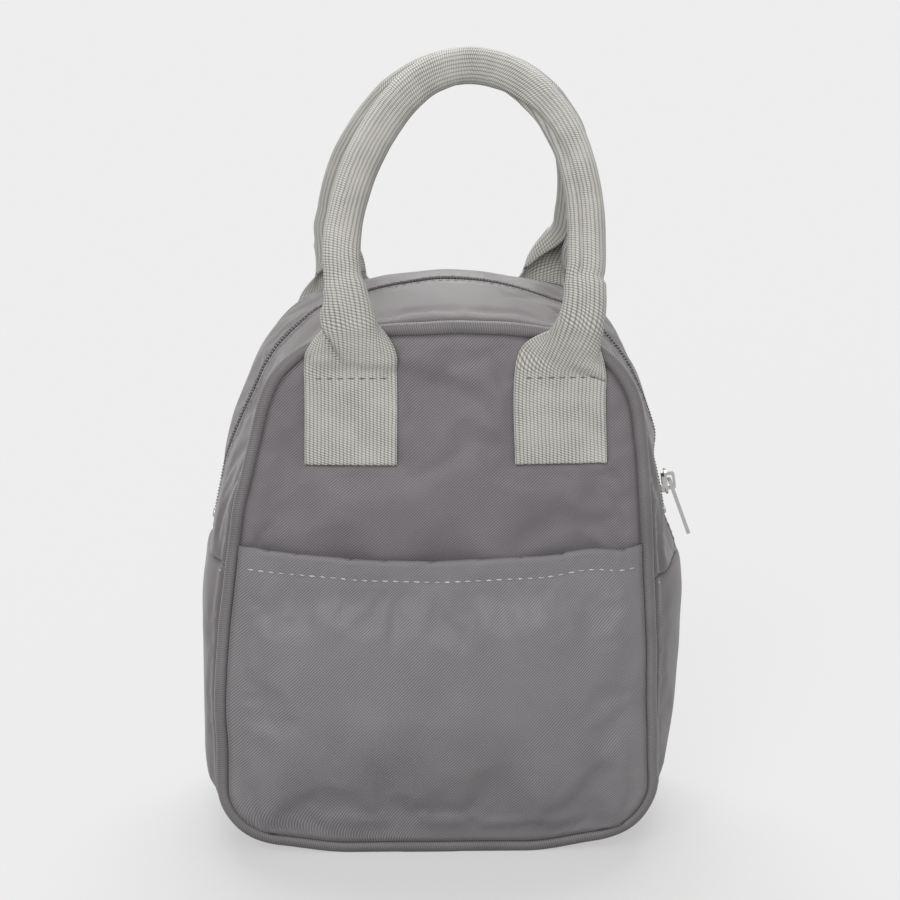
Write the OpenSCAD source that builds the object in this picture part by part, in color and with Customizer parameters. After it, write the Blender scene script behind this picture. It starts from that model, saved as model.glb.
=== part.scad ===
// Soft insulated lunch bag with a zip-round front flap, a front pocket,
// corded piping and two folded webbing handles.
// The origin is at the centre of the base, Z is up and the front faces -Y.

/* [Bag] */
// Width between the two side seams
seam_w = 184; // [150:1:220]
// Height of the crown seam above the floor
seam_h = 228; // [205:1:260]
// Distance between the front and rear seams
gusset_w = 120; // [95:1:145]
// Radius of the bottom corners in front view
bottom_corner_r = 24; // [14:1:32]
// Radius of the shoulders in front view
shoulder_r = 40; // [30:1:48]
// Radius of the slow curve of each side
side_r = 780; // [600:10:1200]
// Radius of the crown
crown_r = 250; // [200:5:400]
// Height at which the sides start to lean inward
side_start_z = 55; // [45:1:70]
// How far the sides and the top swell out past the seams
swell = 13.5; // [8:0.5:16]
// How far the base sags below its seams before the floor flattens it
base_sag = 6; // [4:0.5:8]

/* [Walls] */
// Thickness of the outer cloth
cloth_t = 0.8; // [0.5:0.1:1.2]
// Thickness of the insulating foam
foam_t = 3; // [2:0.5:5]
// Thickness of the wipe-clean lining
lining_t = 0.6; // [0.3:0.1:1]
// Width of the binding over the inner seams
binding_w = 8; // [5:1:12]
// Thickness of the binding over the inner seams
binding_t = 1.6; // [1:0.1:2.5]

/* [Piping] */
// Outer diameter of the piping on both rims
piping_d = 5.5; // [4:0.1:7]
// Wall of the cloth round the piping cord
piping_wall = 0.8; // [0.5:0.1:1.1]

/* [Opening] */
// Height of the fold that the front flap turns about
fold_z = 156.5; // [155.5:0.5:162]
// Height at which the zip strips meet the lower gusset
strip_end_z = 118; // [105:1:126]
// Height of the stops at both ends of the zip
zip_stop_z = 136; // [130:1:138]
// Clearance between pieces that move against each other
running_gap = 0.3; // [0.2:0.05:0.5]

/* [Zip] */
// Distance between the cloth edges beside the zip
zip_slot_w = 6.4; // [6:0.1:8]
// Width of one zip tape, from the middle of the zip
tape_w = 11; // [9:0.5:14]
// Thickness of the zip tape
tape_t = 0.6; // [0.4:0.05:0.8]
// Width of one row of coil
coil_w = 2; // [1.8:0.1:2.2]
// Height of the coil above the tape
coil_h = 1.9; // [1.6:0.1:2.2]
// Distance between the two rows of coil
coil_split = 1.8; // [1.6:0.1:2]
// Height of the middle of the slider when the zip is shut
slider_z = 148; // [146:0.5:149]
// Length of the slider
slider_l = 10.6; // [9:0.1:11]
// Width of the slider
slider_w = 8.6; // [8.4:0.1:9.5]
// Thickness of each plate of the slider
slider_plate_t = 1; // [0.8:0.1:1.3]

/* [Pull tab] */
// Length of the pull tab past its crossbar
tab_l = 26; // [18:1:32]
// Width of the pull tab
tab_w = 7; // [6.6:0.1:9]
// Thickness of the pull tab
tab_t = 1.6; // [1.2:0.1:1.8]
// Angle between the pull tab and the zip at rest
tab_rest_angle = 13; // [8:1:30]

/* [Pocket] */
// Height of the pocket's hem at the sides
pocket_side_z = 134; // [110:1:138]
// How far the hem dips at its middle
pocket_dip = 6.5; // [0:0.5:10]
// How far the pocket stands off the front panel
pocket_belly = 7.4; // [6.5:0.1:10]
// Height of the folded hem
hem_h = 9; // [6:0.5:12]

/* [Handles] */
// Width of the handle webbing
webbing_w = 38.4; // [34:0.2:42]
// Thickness of the handle webbing
webbing_t = 1.6; // [1.2:0.1:2]
// Distance between the middles of the two sewn ends
handle_span = 91; // [80:1:100]
// Height of the lower edge of the sewn ends
sewn_z0 = 170; // [166:1:176]
// Height at which the handles turn about their sewn ends
handle_hinge_z = 209; // [205:1:212]
// Height at which a handle has folded into a tube
tube_z = 252; // [245:1:262]
// Height at which the arch of a handle starts
arch_z = 262; // [255:1:270]
// Height of the middle of the handle tube at the top of its arch
arch_top_z = 338; // [310:1:360]
// Half width of the arch at its start
arch_half_w = 52; // [42:1:60]
// Width of the folded tube, seen from the front
tube_w = 16.5; // [15.5:0.1:18]
// Depth of the folded tube
tube_depth = 11; // [10:0.1:12]
// Diameter of the cord inside the tube
handle_cord_d = 7.4; // [6:0.1:7.6]
// Sideways set of the front arch
front_arch_shift = 9; // [-12:1:12]
// Sideways set of the rear arch
rear_arch_shift = 4; // [-12:1:12]
// Distance from the middle plane to each handle at the top
arch_top_y = 2.4; // [2:0.1:20]

/* [Hidden] */

$fn = 48;
tiny = 0.01;
far = 400;

cloth_colour = [0.46, 0.44, 0.46];
pocket_colour = [0.50, 0.49, 0.50];
piping_colour = [0.45, 0.43, 0.44];
webbing_colour = [0.71, 0.70, 0.68];
zip_colour = [0.38, 0.37, 0.37];
lining_colour = [0.80, 0.81, 0.82];
foam_colour = [0.93, 0.92, 0.88];
cord_colour = [0.90, 0.89, 0.85];
metal_colour = [0.76, 0.76, 0.75];

// Walls and rims
half_w = seam_w / 2;
seam_y = gusset_w / 2;
piping_r = piping_d / 2;
wall_t = cloth_t + foam_t + lining_t;
seam_gap = 0.05;
inset = piping_r + seam_gap;
gusset_y = seam_y - inset;
panel_face_y = seam_y + 2;
base_z = piping_r;

// The side seam's arc and the crown's arc are joined by the shoulder's arc,
// which touches both from inside.
side_c = [half_w - side_r, side_start_z];
crown_c = [0, seam_h - crown_r];
side_reach = side_r - shoulder_r;
crown_reach = crown_r - shoulder_r;
centres = crown_c - side_c;
centre_gap = norm(centres);
along = (side_reach ^ 2 - crown_reach ^ 2 + centre_gap ^ 2) / (2 * centre_gap);
across = sqrt(side_reach ^ 2 - along ^ 2);
unit = centres / centre_gap;
shoulder_c = side_c + unit * along + [-unit[1], unit[0]] * across;
side_end_a = atan2(shoulder_c[1] - side_c[1], shoulder_c[0] - side_c[0]);
crown_start_a = atan2(shoulder_c[1] - crown_c[1], shoulder_c[0] - crown_c[0]);
corner_c = [half_w - bottom_corner_r, base_z + bottom_corner_r];

// Distances along the seam from the middle of the crown
per_degree = PI / 180;
crown_end = crown_r * (90 - crown_start_a) * per_degree;
shoulder_end = crown_end + shoulder_r * (crown_start_a - side_end_a) * per_degree;
side_end = shoulder_end + side_r * side_end_a * per_degree;
upright_end = side_end + side_start_z - corner_c[1];
corner_end = upright_end + bottom_corner_r * 90 * per_degree;
seam_end = corner_end + corner_c[0];

function side_angle(z) = asin((z - side_start_z) / side_r);
function side_distance(z) = shoulder_end + side_r * (side_end_a - side_angle(z)) * per_degree;
function on_arc(c, r, a) = [c[0] + r * cos(a), c[1] + r * sin(a), cos(a), sin(a)];

// A point of the right half of the seam, with its outward normal
function half_seam(d) =
    d < crown_end ? on_arc(crown_c, crown_r, 90 - d / crown_r / per_degree)
    : d < shoulder_end
        ? on_arc(shoulder_c, shoulder_r, crown_start_a - (d - crown_end) / shoulder_r / per_degree)
    : d < side_end
        ? on_arc(side_c, side_r, side_end_a - (d - shoulder_end) / side_r / per_degree)
    : d < upright_end ? [half_w, side_start_z - (d - side_end), 1, 0]
    : d < corner_end
        ? on_arc(corner_c, bottom_corner_r, -(d - upright_end) / bottom_corner_r / per_degree)
    : [corner_c[0] - (d - corner_end), base_z, 0, -1];

// The whole seam: negative distances are on the left, and those past the
// middle of the base come up the left side.
function seam(d) =
    let (left = d < 0 || d > seam_end)
    let (h = half_seam(d > seam_end ? 2 * seam_end - d : abs(d)))
    left ? [-h[0], h[1], -h[2], h[3]] : h;

function steps(a, b, n) = [for (i = [0:n - 1]) a + (b - a) * i / n];
half_stations = concat(
    steps(0, crown_end, 4), steps(crown_end, shoulder_end, 8),
    steps(shoulder_end, side_end, 8), steps(side_end, upright_end, 2),
    steps(upright_end, corner_end, 6), steps(corner_end, seam_end, 2)
);
reversed = [for (i = [len(half_stations) - 1:-1:0]) half_stations[i]];
all_stations = concat(
    -reversed, half_stations, [seam_end], [for (d = reversed) 2 * seam_end - d]
);
function stations(a, b) =
    concat([a], [for (d = all_stations) if (d > a + 1 && d < b - 1) d], [b]);

function ease(u) = let (v = max(0, min(1, u))) v * v * (3 - 2 * v);

// How far the gusset swells out at a distance along the seam and a depth
function swell_at(d, y) =
    let (from_crown = abs(d > seam_end ? 2 * seam_end - d : d))
    let (low = ease((from_crown - side_end) / (corner_end - side_end)))
    (swell + (base_sag - swell) * low) * (1 - pow(abs(y) / seam_y, 2.2));

// A point of the gusset, under the outer face by a depth
function gusset_point(d, y, depth) =
    let (s = seam(d), out = swell_at(d, y) - depth)
    [s[0] + s[2] * out, y, max(s[1] + s[3] * out, depth > 0 ? depth : -1)];

// A closed layer of the gusset between two depths
module layer(ds, ys, top, under) {
    n = len(ds);
    m = len(ys);
    points = concat(
        [for (d = ds) for (y = ys) gusset_point(d, y, top)],
        [for (d = ds) for (y = ys) gusset_point(d, y, under)]
    );
    half = n * m;
    sheets = [
        for (i = [0:n - 2]) for (j = [0:m - 2])
            let (a = i * m + j, b = a + m)
            each [
                [a, b, b + 1], [a, b + 1, a + 1],
                [half + a, half + b + 1, half + b], [half + a, half + a + 1, half + b + 1]
            ]
    ];
    long_edges = [
        for (i = [0:n - 2])
            let (a = i * m, b = a + m, c = a + m - 1, e = c + m)
            each [
                [a, half + a, half + b], [a, half + b, b],
                [c, e, half + e], [c, half + e, half + c]
            ]
    ];
    short_edges = [
        for (j = [0:m - 2])
            let (a = j, c = (n - 1) * m + j)
            each [
                [a, a + 1, half + a + 1], [a, half + a + 1, half + a],
                [c, half + c, half + c + 1], [c, half + c + 1, c + 1]
            ]
    ];
    polyhedron(points, concat(sheets, long_edges, short_edges), convexity = 6);
}

module upper_side() {
    translate([-far / 2, -far / 2, fold_z + running_gap / 2])
        cube([far, far, far]);
}

module lower_side() {
    translate([-far / 2, -far / 2, fold_z - running_gap / 2 - far])
        cube([far, far, far]);
}

module under_floor() {
    translate([-far / 2, -far / 2, -far]) cube([far, far, far]);
}

// Flat panels. The outline is the seam, moved in.
function outline(back) = [
    for (d = stations(-seam_end, seam_end - 1))
        let (s = seam(d)) [s[0] - s[2] * back, s[1] - s[3] * back]
];

module upper_half() {
    translate([-far / 2, fold_z + running_gap / 2]) square([far, far]);
}

module lower_half() {
    translate([-far / 2, fold_z - running_gap / 2 - far]) square([far, far]);
}

// Stands a front view outline up, from one depth behind the face to another
module panel_layer(side, near, deep) {
    face = side * panel_face_y;
    back = -side * near;
    depth = deep - near;
    translate([0, side > 0 ? face + back : face + back + depth, 0])
        rotate([90, 0, 0]) linear_extrude(depth) children();
}

module panel_outline() { polygon(outline(inset)); }

module binding_outline() {
    edge = wall_t + 4 * seam_gap;
    difference() {
        polygon(outline(edge));
        polygon(outline(edge + binding_w));
    }
}

module rear_panel() {
    color(cloth_colour) panel_layer(1, 0, cloth_t) panel_outline();
}

module rear_panel_foam() {
    color(foam_colour) panel_layer(1, cloth_t, cloth_t + foam_t) panel_outline();
}

module rear_panel_lining() {
    color(lining_colour) panel_layer(1, cloth_t + foam_t, wall_t) panel_outline();
}

module front_wall(near, deep, upper) {
    panel_layer(-1, near, deep) intersection() {
        panel_outline();
        if (upper) upper_half();
        if (!upper) lower_half();
    }
}

module front_panel_lower() {
    color(cloth_colour) front_wall(0, cloth_t, false);
}

module front_panel_lower_foam() {
    color(foam_colour) front_wall(cloth_t, cloth_t + foam_t, false);
}

module front_panel_lower_lining() {
    color(lining_colour) front_wall(cloth_t + foam_t, wall_t, false);
}

module front_panel_upper() {
    color(cloth_colour) front_wall(0, cloth_t, true);
}

module front_panel_upper_foam() {
    color(foam_colour) front_wall(cloth_t, cloth_t + foam_t, true);
}

module front_panel_upper_lining() {
    color(lining_colour) front_wall(cloth_t + foam_t, wall_t, true);
}

module rear_seam_binding() {
    color(cloth_colour) panel_layer(1, wall_t, wall_t + binding_t) binding_outline();
}

module front_seam_binding_lower() {
    color(cloth_colour) panel_layer(-1, wall_t, wall_t + binding_t) intersection() {
        binding_outline();
        lower_half();
    }
}

module front_seam_binding_upper() {
    color(cloth_colour) panel_layer(-1, wall_t, wall_t + binding_t) intersection() {
        binding_outline();
        upper_half();
    }
}

// Half the width of the front panel at a height
function panel_half_w(z) =
    z < corner_c[1]
        ? corner_c[0] + sqrt(max(0, (bottom_corner_r - inset) ^ 2 - (corner_c[1] - z) ^ 2))
    : z < side_start_z ? half_w - inset
    : side_c[0] + sqrt((side_r - inset) ^ 2 - (z - side_start_z) ^ 2);

// The pocket is a sheet that stands off the front panel.
pocket_base_z = base_z + inset + 0.4;
pocket_rows = 8;
pocket_columns = 16;
hem_v = 1 - hem_h / (pocket_side_z - pocket_base_z);
pocket_vs = [for (j = [0:pocket_rows]) hem_v * j / pocket_rows];
function hem_z(u) = pocket_side_z - pocket_dip * (1 - u * u);
function pocket_off(u, v) = pocket_belly * ease(2.2 * v) * (1 - pow(abs(u), 4));

// A point of the pocket: u runs from -1 to 1 across and v from 0 at the base
// to 1 at the hem.
function pocket_point(u, v, behind) =
    let (z = pocket_base_z + (hem_z(u) - pocket_base_z) * v)
    [u * panel_half_w(z), -panel_face_y - pocket_off(u, v) - behind, z];

module pocket_sheet(vs, near, deep) {
    us = [for (i = [0:pocket_columns]) -1 + 2 * i / pocket_columns];
    n = len(us);
    m = len(vs);
    points = concat(
        [for (u = us) for (v = vs) pocket_point(u, v, near)],
        [for (u = us) for (v = vs) pocket_point(u, v, deep)]
    );
    half = n * m;
    sheets = [
        for (i = [0:n - 2]) for (j = [0:m - 2])
            let (a = i * m + j, b = a + m)
            each [
                [a, b + 1, b], [a, a + 1, b + 1],
                [half + a, half + b, half + b + 1], [half + a, half + b + 1, half + a + 1]
            ]
    ];
    rims = [
        for (i = [0:n - 2])
            let (a = i * m, b = a + m, c = a + m - 1, e = c + m)
            each [
                [a, b, half + b], [a, half + b, half + a],
                [c, half + e, e], [c, half + c, half + e]
            ]
    ];
    ends = [
        for (j = [0:m - 2])
            let (a = j, c = (n - 1) * m + j)
            each [
                [a, half + a + 1, a + 1], [a, half + a, half + a + 1],
                [c, half + c + 1, half + c], [c, c + 1, half + c + 1]
            ]
    ];
    polyhedron(points, concat(sheets, rims, ends), convexity = 6);
}

module front_pocket() {
    color(pocket_colour)
        pocket_sheet(concat(pocket_vs, [1]), cloth_t, 2 * cloth_t);
}

module pocket_hem() {
    color(pocket_colour) pocket_sheet([hem_v, 1], 0, cloth_t);
}

// Gusset layers
lower_start = side_distance(strip_end_z);
strip_ds = stations(-lower_start + seam_gap, lower_start - seam_gap);
lower_ds = stations(lower_start + seam_gap, 2 * seam_end - lower_start - seam_gap);
lower_ys = [for (i = [-4:4]) gusset_y * sin(90 * i / 4)];

module lower_layer(top, under) {
    difference() {
        layer(lower_ds, lower_ys, top, under);
        under_floor();
    }
}

module lower_gusset() { color(cloth_colour) lower_layer(0, cloth_t); }

module lower_gusset_foam() {
    color(foam_colour) layer(lower_ds, lower_ys, cloth_t, cloth_t + foam_t);
}

module lower_gusset_lining() {
    color(lining_colour) layer(lower_ds, lower_ys, cloth_t + foam_t, wall_t);
}

strip_edge = zip_slot_w / 2;
// The foam and the lining stop at the tape, and every layer bends at the same lines.
lining_ys = [for (i = [0:3]) tape_w + (gusset_y - tape_w) * sin(90 * i / 3)];
cloth_ys = concat([strip_edge], lining_ys);
tape_ys = [coil_split / 2, strip_edge, tape_w];
function on_side(ys, side) = side > 0 ? ys : [for (i = [len(ys) - 1:-1:0]) -ys[i]];

module strip_layer(ys, side, top, under) {
    layer(strip_ds, on_side(ys, side), top, under);
}

module rear_zip_strip() {
    color(cloth_colour) strip_layer(cloth_ys, 1, 0, cloth_t);
}

module rear_zip_strip_foam() {
    color(foam_colour) strip_layer(lining_ys, 1, cloth_t, cloth_t + foam_t);
}

module rear_zip_strip_lining() {
    color(lining_colour) strip_layer(lining_ys, 1, cloth_t + foam_t, wall_t);
}

// The front strip is cut at the fold: its ends stay with the bag.
module front_cut(upper) {
    intersection() {
        children();
        if (upper) upper_side();
        if (!upper) lower_side();
    }
}

module front_strip_layer(ys, top, under, upper) {
    front_cut(upper) strip_layer(ys, -1, top, under);
}

module front_strip_ends() {
    color(cloth_colour) front_strip_layer(cloth_ys, 0, cloth_t, false);
}

module front_strip_ends_foam() {
    color(foam_colour) front_strip_layer(lining_ys, cloth_t, cloth_t + foam_t, false);
}

module front_strip_ends_lining() {
    color(lining_colour) front_strip_layer(lining_ys, cloth_t + foam_t, wall_t, false);
}

module front_zip_strip() {
    color(cloth_colour) front_strip_layer(cloth_ys, 0, cloth_t, true);
}

module front_zip_strip_foam() {
    color(foam_colour) front_strip_layer(lining_ys, cloth_t, cloth_t + foam_t, true);
}

module front_zip_strip_lining() {
    color(lining_colour) front_strip_layer(lining_ys, cloth_t + foam_t, wall_t, true);
}

// Zip tape and coil. The tape lies under the cloth, and the coil stands on it.
tape_under = cloth_t + tape_t;
coil_top = cloth_t - coil_h;

module tape(side) { strip_layer(tape_ys, side, cloth_t, tape_under); }

module coil(side) {
    ys = on_side([coil_split / 2, coil_split / 2 + coil_w], side);
    stop = side_distance(zip_stop_z) - 2;
    layer(stations(-stop, stop), ys, coil_top, cloth_t);
}

module rear_zip_tape() { color(zip_colour) tape(1); }

module rear_zip_coil() { color(zip_colour) coil(1); }

module front_zip_tape_ends() { color(zip_colour) front_cut(false) tape(-1); }

module front_zip_coil_ends() { color(zip_colour) front_cut(false) coil(-1); }

module front_zip_tape() { color(zip_colour) front_cut(true) tape(-1); }

module front_zip_coil() { color(zip_colour) front_cut(true) coil(-1); }

// Puts its children on the right side of the zip at a height. Their X then
// points out of the bag from the cloth's outer face, and their Z runs up the zip.
module on_zip(z) {
    a = side_angle(z);
    translate([side_c[0] + (side_r + swell) * cos(a), 0, side_c[1] + (side_r + swell) * sin(a)])
        rotate([0, -a, 0]) children();
}

stop_l = 3.2;
stop_t = 1.1;
stop_w = coil_split + 2 * coil_w;
module zip_end_stops() {
    color(metal_colour) for (side = [0, 1]) mirror([side, 0, 0]) on_zip(zip_stop_z)
        translate([-cloth_t, -stop_w / 2, -stop_l / 2]) cube([cloth_t + stop_t, stop_w, stop_l]);
}

// Slider: two plates joined by a post between the rows of coil
slider_clear = 0.4;
top_plate_x = -coil_top + slider_clear;
low_plate_x = -tape_under - 0.5 - slider_plate_t;
slider_top_x = top_plate_x + slider_plate_t;
flange_t = 0.8;
post_w = coil_split - 2 * running_gap - 0.1;
post_l = 3;

module slider_plate(x, w) {
    nose_r = 2.4;
    translate([x, 0, 0]) rotate([0, 90, 0]) linear_extrude(slider_plate_t) hull() {
        for (side = [-1, 1])
            translate([slider_l / 2 - nose_r, side * (w / 2 - nose_r)]) circle(nose_r);
        for (side = [-1, 1])
            translate([-slider_l / 2 + 1, side * (w / 2 - 1.6)]) circle(1);
    }
}

module slider_body() {
    color(metal_colour) on_zip(slider_z) union() {
        slider_plate(top_plate_x, slider_w);
        slider_plate(low_plate_x, slider_w);
        translate([low_plate_x + tiny, -post_w / 2, -slider_l / 2 + 0.4])
            cube([top_plate_x - low_plate_x, post_w, post_l]);
        for (side = [-1, 1])
            translate([running_gap, side * (slider_w - flange_t) / 2 - flange_t / 2, -slider_l / 2 + 3])
                cube([top_plate_x - running_gap + tiny, flange_t, slider_l - 5.4]);
    }
}

// The bridge is an arch over the crossbar of the pull tab.
bar_r = 0.9;
bridge_room = 2 * bar_r + 0.8;
bridge_t = 1.1;
bridge_w = 2.2;
bridge_half_l = 3.8;
bar_x = slider_top_x + bridge_room / 2;

module bridge_outline(grow, h) {
    hull() for (side = [-1, 1]) {
        translate([0, side * (bridge_half_l - bridge_t + grow - 0.5)])
            square([tiny, 1], center = true);
        translate([h - 1.2, side * (bridge_half_l - bridge_t + grow - 1.2)]) circle(1.2);
    }
}

module slider_bridge() {
    color(metal_colour) on_zip(slider_z)
        translate([slider_top_x, bridge_w / 2, 0]) rotate([90, 0, 0])
            linear_extrude(bridge_w) difference() {
                bridge_outline(bridge_t, bridge_room + bridge_t);
                translate([-tiny, 0]) bridge_outline(0, bridge_room);
            }
}

// The pull tab hangs from its crossbar: a plate with a window for the bridge.
window_w = bridge_w + 1.2;
window_l = 6.4;
tab_hole_d = 2.2;
module pull_tab() {
    color(metal_colour) on_zip(slider_z) translate([bar_x, 0, 0])
        rotate([0, 90 - tab_rest_angle, 0]) difference() {
            union() {
                translate([0, tab_w / 2, 0]) rotate([90, 0, 0]) cylinder(r = bar_r, h = tab_w);
                translate([0, 0, -tab_t / 2]) linear_extrude(tab_t) hull() {
                    translate([0.2, -tab_w / 2]) square([1, tab_w]);
                    translate([tab_l - tab_w / 2, 0]) circle(d = tab_w - 1);
                }
            }
            translate([bar_r, -window_w / 2, -tab_w])
                cube([window_l, window_w, 2 * tab_w]);
            translate([tab_l - tab_w / 2, 0, -tab_w]) cylinder(d = tab_hole_d, h = 2 * tab_w);
        }
}

// Piping runs round both seams: straight tubes joined to parts of rings.
module piping_section(r, hollow_r) {
    difference() {
        circle(r);
        if (hollow_r > 0) circle(hollow_r);
    }
}

// The lengths of piping meet end to end with a hair of room.
butt = 0.02;
module piping_arc(c, r, from, to, section_r, hollow_r) {
    trim = butt / r / per_degree;
    translate([c[0], 0, c[1]]) rotate([90, 0, 0]) rotate([0, 0, from + trim])
        rotate_extrude(angle = to - from - 2 * trim, $fn = 96)
            translate([r, 0]) piping_section(section_r, hollow_r);
}

module piping_side(section_r, hollow_r) {
    piping_arc(shoulder_c, shoulder_r, side_end_a, crown_start_a, section_r, hollow_r);
    piping_arc(side_c, side_r, 0, side_end_a, section_r, hollow_r);
    translate([half_w, 0, corner_c[1]]) linear_extrude(side_start_z - corner_c[1])
        piping_section(section_r, hollow_r);
    piping_arc(corner_c, bottom_corner_r, -90, 0, section_r, hollow_r);
}

module piping(side, section_r, hollow_r) {
    translate([0, side * seam_y, 0]) {
        piping_arc(crown_c, crown_r, crown_start_a, 180 - crown_start_a, section_r, hollow_r);
        piping_side(section_r, hollow_r);
        mirror([1, 0, 0]) piping_side(section_r, hollow_r);
        translate([-corner_c[0], 0, base_z]) rotate([0, 90, 0])
            linear_extrude(2 * corner_c[0]) piping_section(section_r, hollow_r);
    }
}

piping_cord_r = piping_r - piping_wall;

module rear_piping_cover() { color(piping_colour) piping(1, piping_r, piping_cord_r); }

module rear_piping_cord() { color(cord_colour) piping(1, piping_cord_r, 0); }

module front_piping_cover_lower() {
    color(piping_colour) front_cut(false) piping(-1, piping_r, piping_cord_r);
}

module front_piping_cord_lower() {
    color(cord_colour) front_cut(false) piping(-1, piping_cord_r, 0);
}

module front_piping_cover_upper() {
    color(piping_colour) front_cut(true) piping(-1, piping_r, piping_cord_r);
}

module front_piping_cord_upper() {
    color(cord_colour) front_cut(true) piping(-1, piping_cord_r, 0);
}

// Sewn ends of the handles
module handle_ends(side) {
    low = side > 0 ? panel_face_y : -panel_face_y - webbing_t;
    for (x = [-handle_span / 2, handle_span / 2])
        translate([x - webbing_w / 2, low, sewn_z0])
            cube([webbing_w, webbing_t, handle_hinge_z - running_gap / 2 - sewn_z0]);
}

module front_handle_ends() { color(webbing_colour) handle_ends(-1); }

module rear_handle_ends() { color(webbing_colour) handle_ends(1); }

// Handles. The webbing's middle line starts flat against the panel, leans in
// to the top and folds its two edges out round a cord.
hinge_start_z = handle_hinge_z + running_gap / 2;
start_y = panel_face_y + running_gap + webbing_t / 2;
over_piping_y = seam_y + piping_r + running_gap + webbing_t / 2 + 0.7;
lean_z = seam_h + 2;

function spine_y(z) =
    start_y + (over_piping_y - start_y) * ease((z - hinge_start_z) / 14)
    - (over_piping_y - arch_top_y) * pow(max(0, z - lean_z) / (arch_top_z - lean_z), 1.25);

leg_steps = 9;
arch_steps = 18;
// Right half of the front view path, from the hinge to the top of the arch
function leg_point(i) =
    let (u = i / leg_steps, z = hinge_start_z + (arch_z - hinge_start_z) * u)
    [handle_span / 2 + (arch_half_w - handle_span / 2) * ease(u), z];
function arch_point(i) =
    let (a = 180 * i / arch_steps)
    [arch_half_w * cos(a), arch_z + (arch_top_z - arch_z) * sin(a)];
handle_path = concat(
    [for (i = [0:leg_steps - 1]) let (p = leg_point(i)) [-p[0], p[1]]],
    [for (i = [arch_steps:-1:0]) arch_point(i)],
    [for (i = [leg_steps - 1:-1:0]) leg_point(i)]
);

function placed(p, side, shift) = [
    p[0] + shift * ease((p[1] - hinge_start_z) / (arch_top_z - hinge_start_z)),
    side * spine_y(p[1]), p[1]
];
function spine(side, shift) = [for (p = handle_path) placed(p, side, shift)];

function direction(v) = v / norm(v);
function tangent(ps, i) =
    i == 0 ? [0, 0, 1]
    : i == len(ps) - 1 ? [0, 0, -1]
    : direction(ps[i + 1] - ps[i - 1]);
function outward(t, side) = direction([0, side, 0] - t * (side * t[1]));

// Fold of the webbing in cross-section, for half its width: a short flat, a
// half circle and a return that almost meets its twin.
fold_r = (tube_depth - webbing_t) / 2;
fold_flat = tube_w / 2 - webbing_t / 2 - fold_r;
fold_lip = 0.3;
half_fold_l = 2 * fold_flat + PI * fold_r - fold_lip;
fold_arc_steps = 4;
half_fold = concat(
    [[0, 0], [fold_flat, 0]],
    [for (i = [1:fold_arc_steps])
        let (a = 180 * i / fold_arc_steps)
        [fold_flat + fold_r * sin(a), fold_r * (1 - cos(a))]],
    [[fold_lip, 2 * fold_r]]
);
half_lengths = concat(
    [0, fold_flat],
    [for (i = [1:fold_arc_steps]) fold_flat + PI * fold_r * i / fold_arc_steps],
    [half_fold_l]
);
half_n = len(half_fold) - 1;
function fold_mid(k, f) =
    let (q = half_lengths[abs(k)] / half_fold_l * webbing_w / 2, p = half_fold[abs(k)])
    [sign(k) * (q + (p[0] - q) * f), p[1] * f];
function fold_normal(k, f) =
    let (a = fold_mid(max(-half_n, k - 1), f), b = fold_mid(min(half_n, k + 1), f))
    direction([a[1] - b[1], b[0] - a[0]]);
function fold_section(f) = concat(
    [for (k = [-half_n:half_n]) fold_mid(k, f) - fold_normal(k, f) * webbing_t / 2],
    [for (k = [half_n:-1:-half_n]) fold_mid(k, f) + fold_normal(k, f) * webbing_t / 2]
);

// A closed sweep of one section at each point of a path
module sweep(rings) {
    n = len(rings);
    m = len(rings[0]);
    walls = [
        for (i = [0:n - 2]) for (j = [0:m - 1])
            let (a = i * m + j, b = i * m + (j + 1) % m)
            each [[a, b + m, b], [a, a + m, b + m]]
    ];
    last = (n - 1) * m;
    caps = [
        for (j = [0:m / 2 - 2])
            let (a = j, b = j + 1, c = m - 1 - j, d = m - 2 - j)
            each [
                [a, b, c], if (b != d) [b, d, c],
                [last + a, last + c, last + b], if (b != d) [last + b, last + c, last + d]
            ]
    ];
    polyhedron([for (r = rings) each r], concat(walls, caps), convexity = 8);
}

module handle_webbing(side, shift) {
    ps = spine(side, shift);
    rings = [
        for (i = [0:len(ps) - 1])
            let (t = tangent(ps, i), out = outward(t, side), wide = cross(t, out))
            let (f = ease((ps[i][2] - hinge_start_z - 1) / (tube_z - hinge_start_z)))
            [for (q = fold_section(f)) ps[i] + wide * q[0] + out * q[1]]
    ];
    sweep(rings);
}

module handle_cord(side, shift) {
    ps = spine(side, shift);
    tube = [for (i = [1:len(ps) - 2]) if (ps[i][2] > tube_z - 4) i];
    rings = [
        for (i = tube)
            let (t = tangent(ps, i), out = outward(t, side), wide = cross(t, out))
            [for (a = [0:45:315])
                ps[i] + wide * (handle_cord_d / 2 * cos(a))
                + out * (fold_r + handle_cord_d / 2 * sin(a))]
    ];
    sweep(rings);
}

module front_handle_webbing() { color(webbing_colour) handle_webbing(-1, front_arch_shift); }

module front_handle_cord() { color(cord_colour) handle_cord(-1, front_arch_shift); }

module rear_handle_webbing() { color(webbing_colour) handle_webbing(1, rear_arch_shift); }

module rear_handle_cord() { color(cord_colour) handle_cord(1, rear_arch_shift); }

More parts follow.
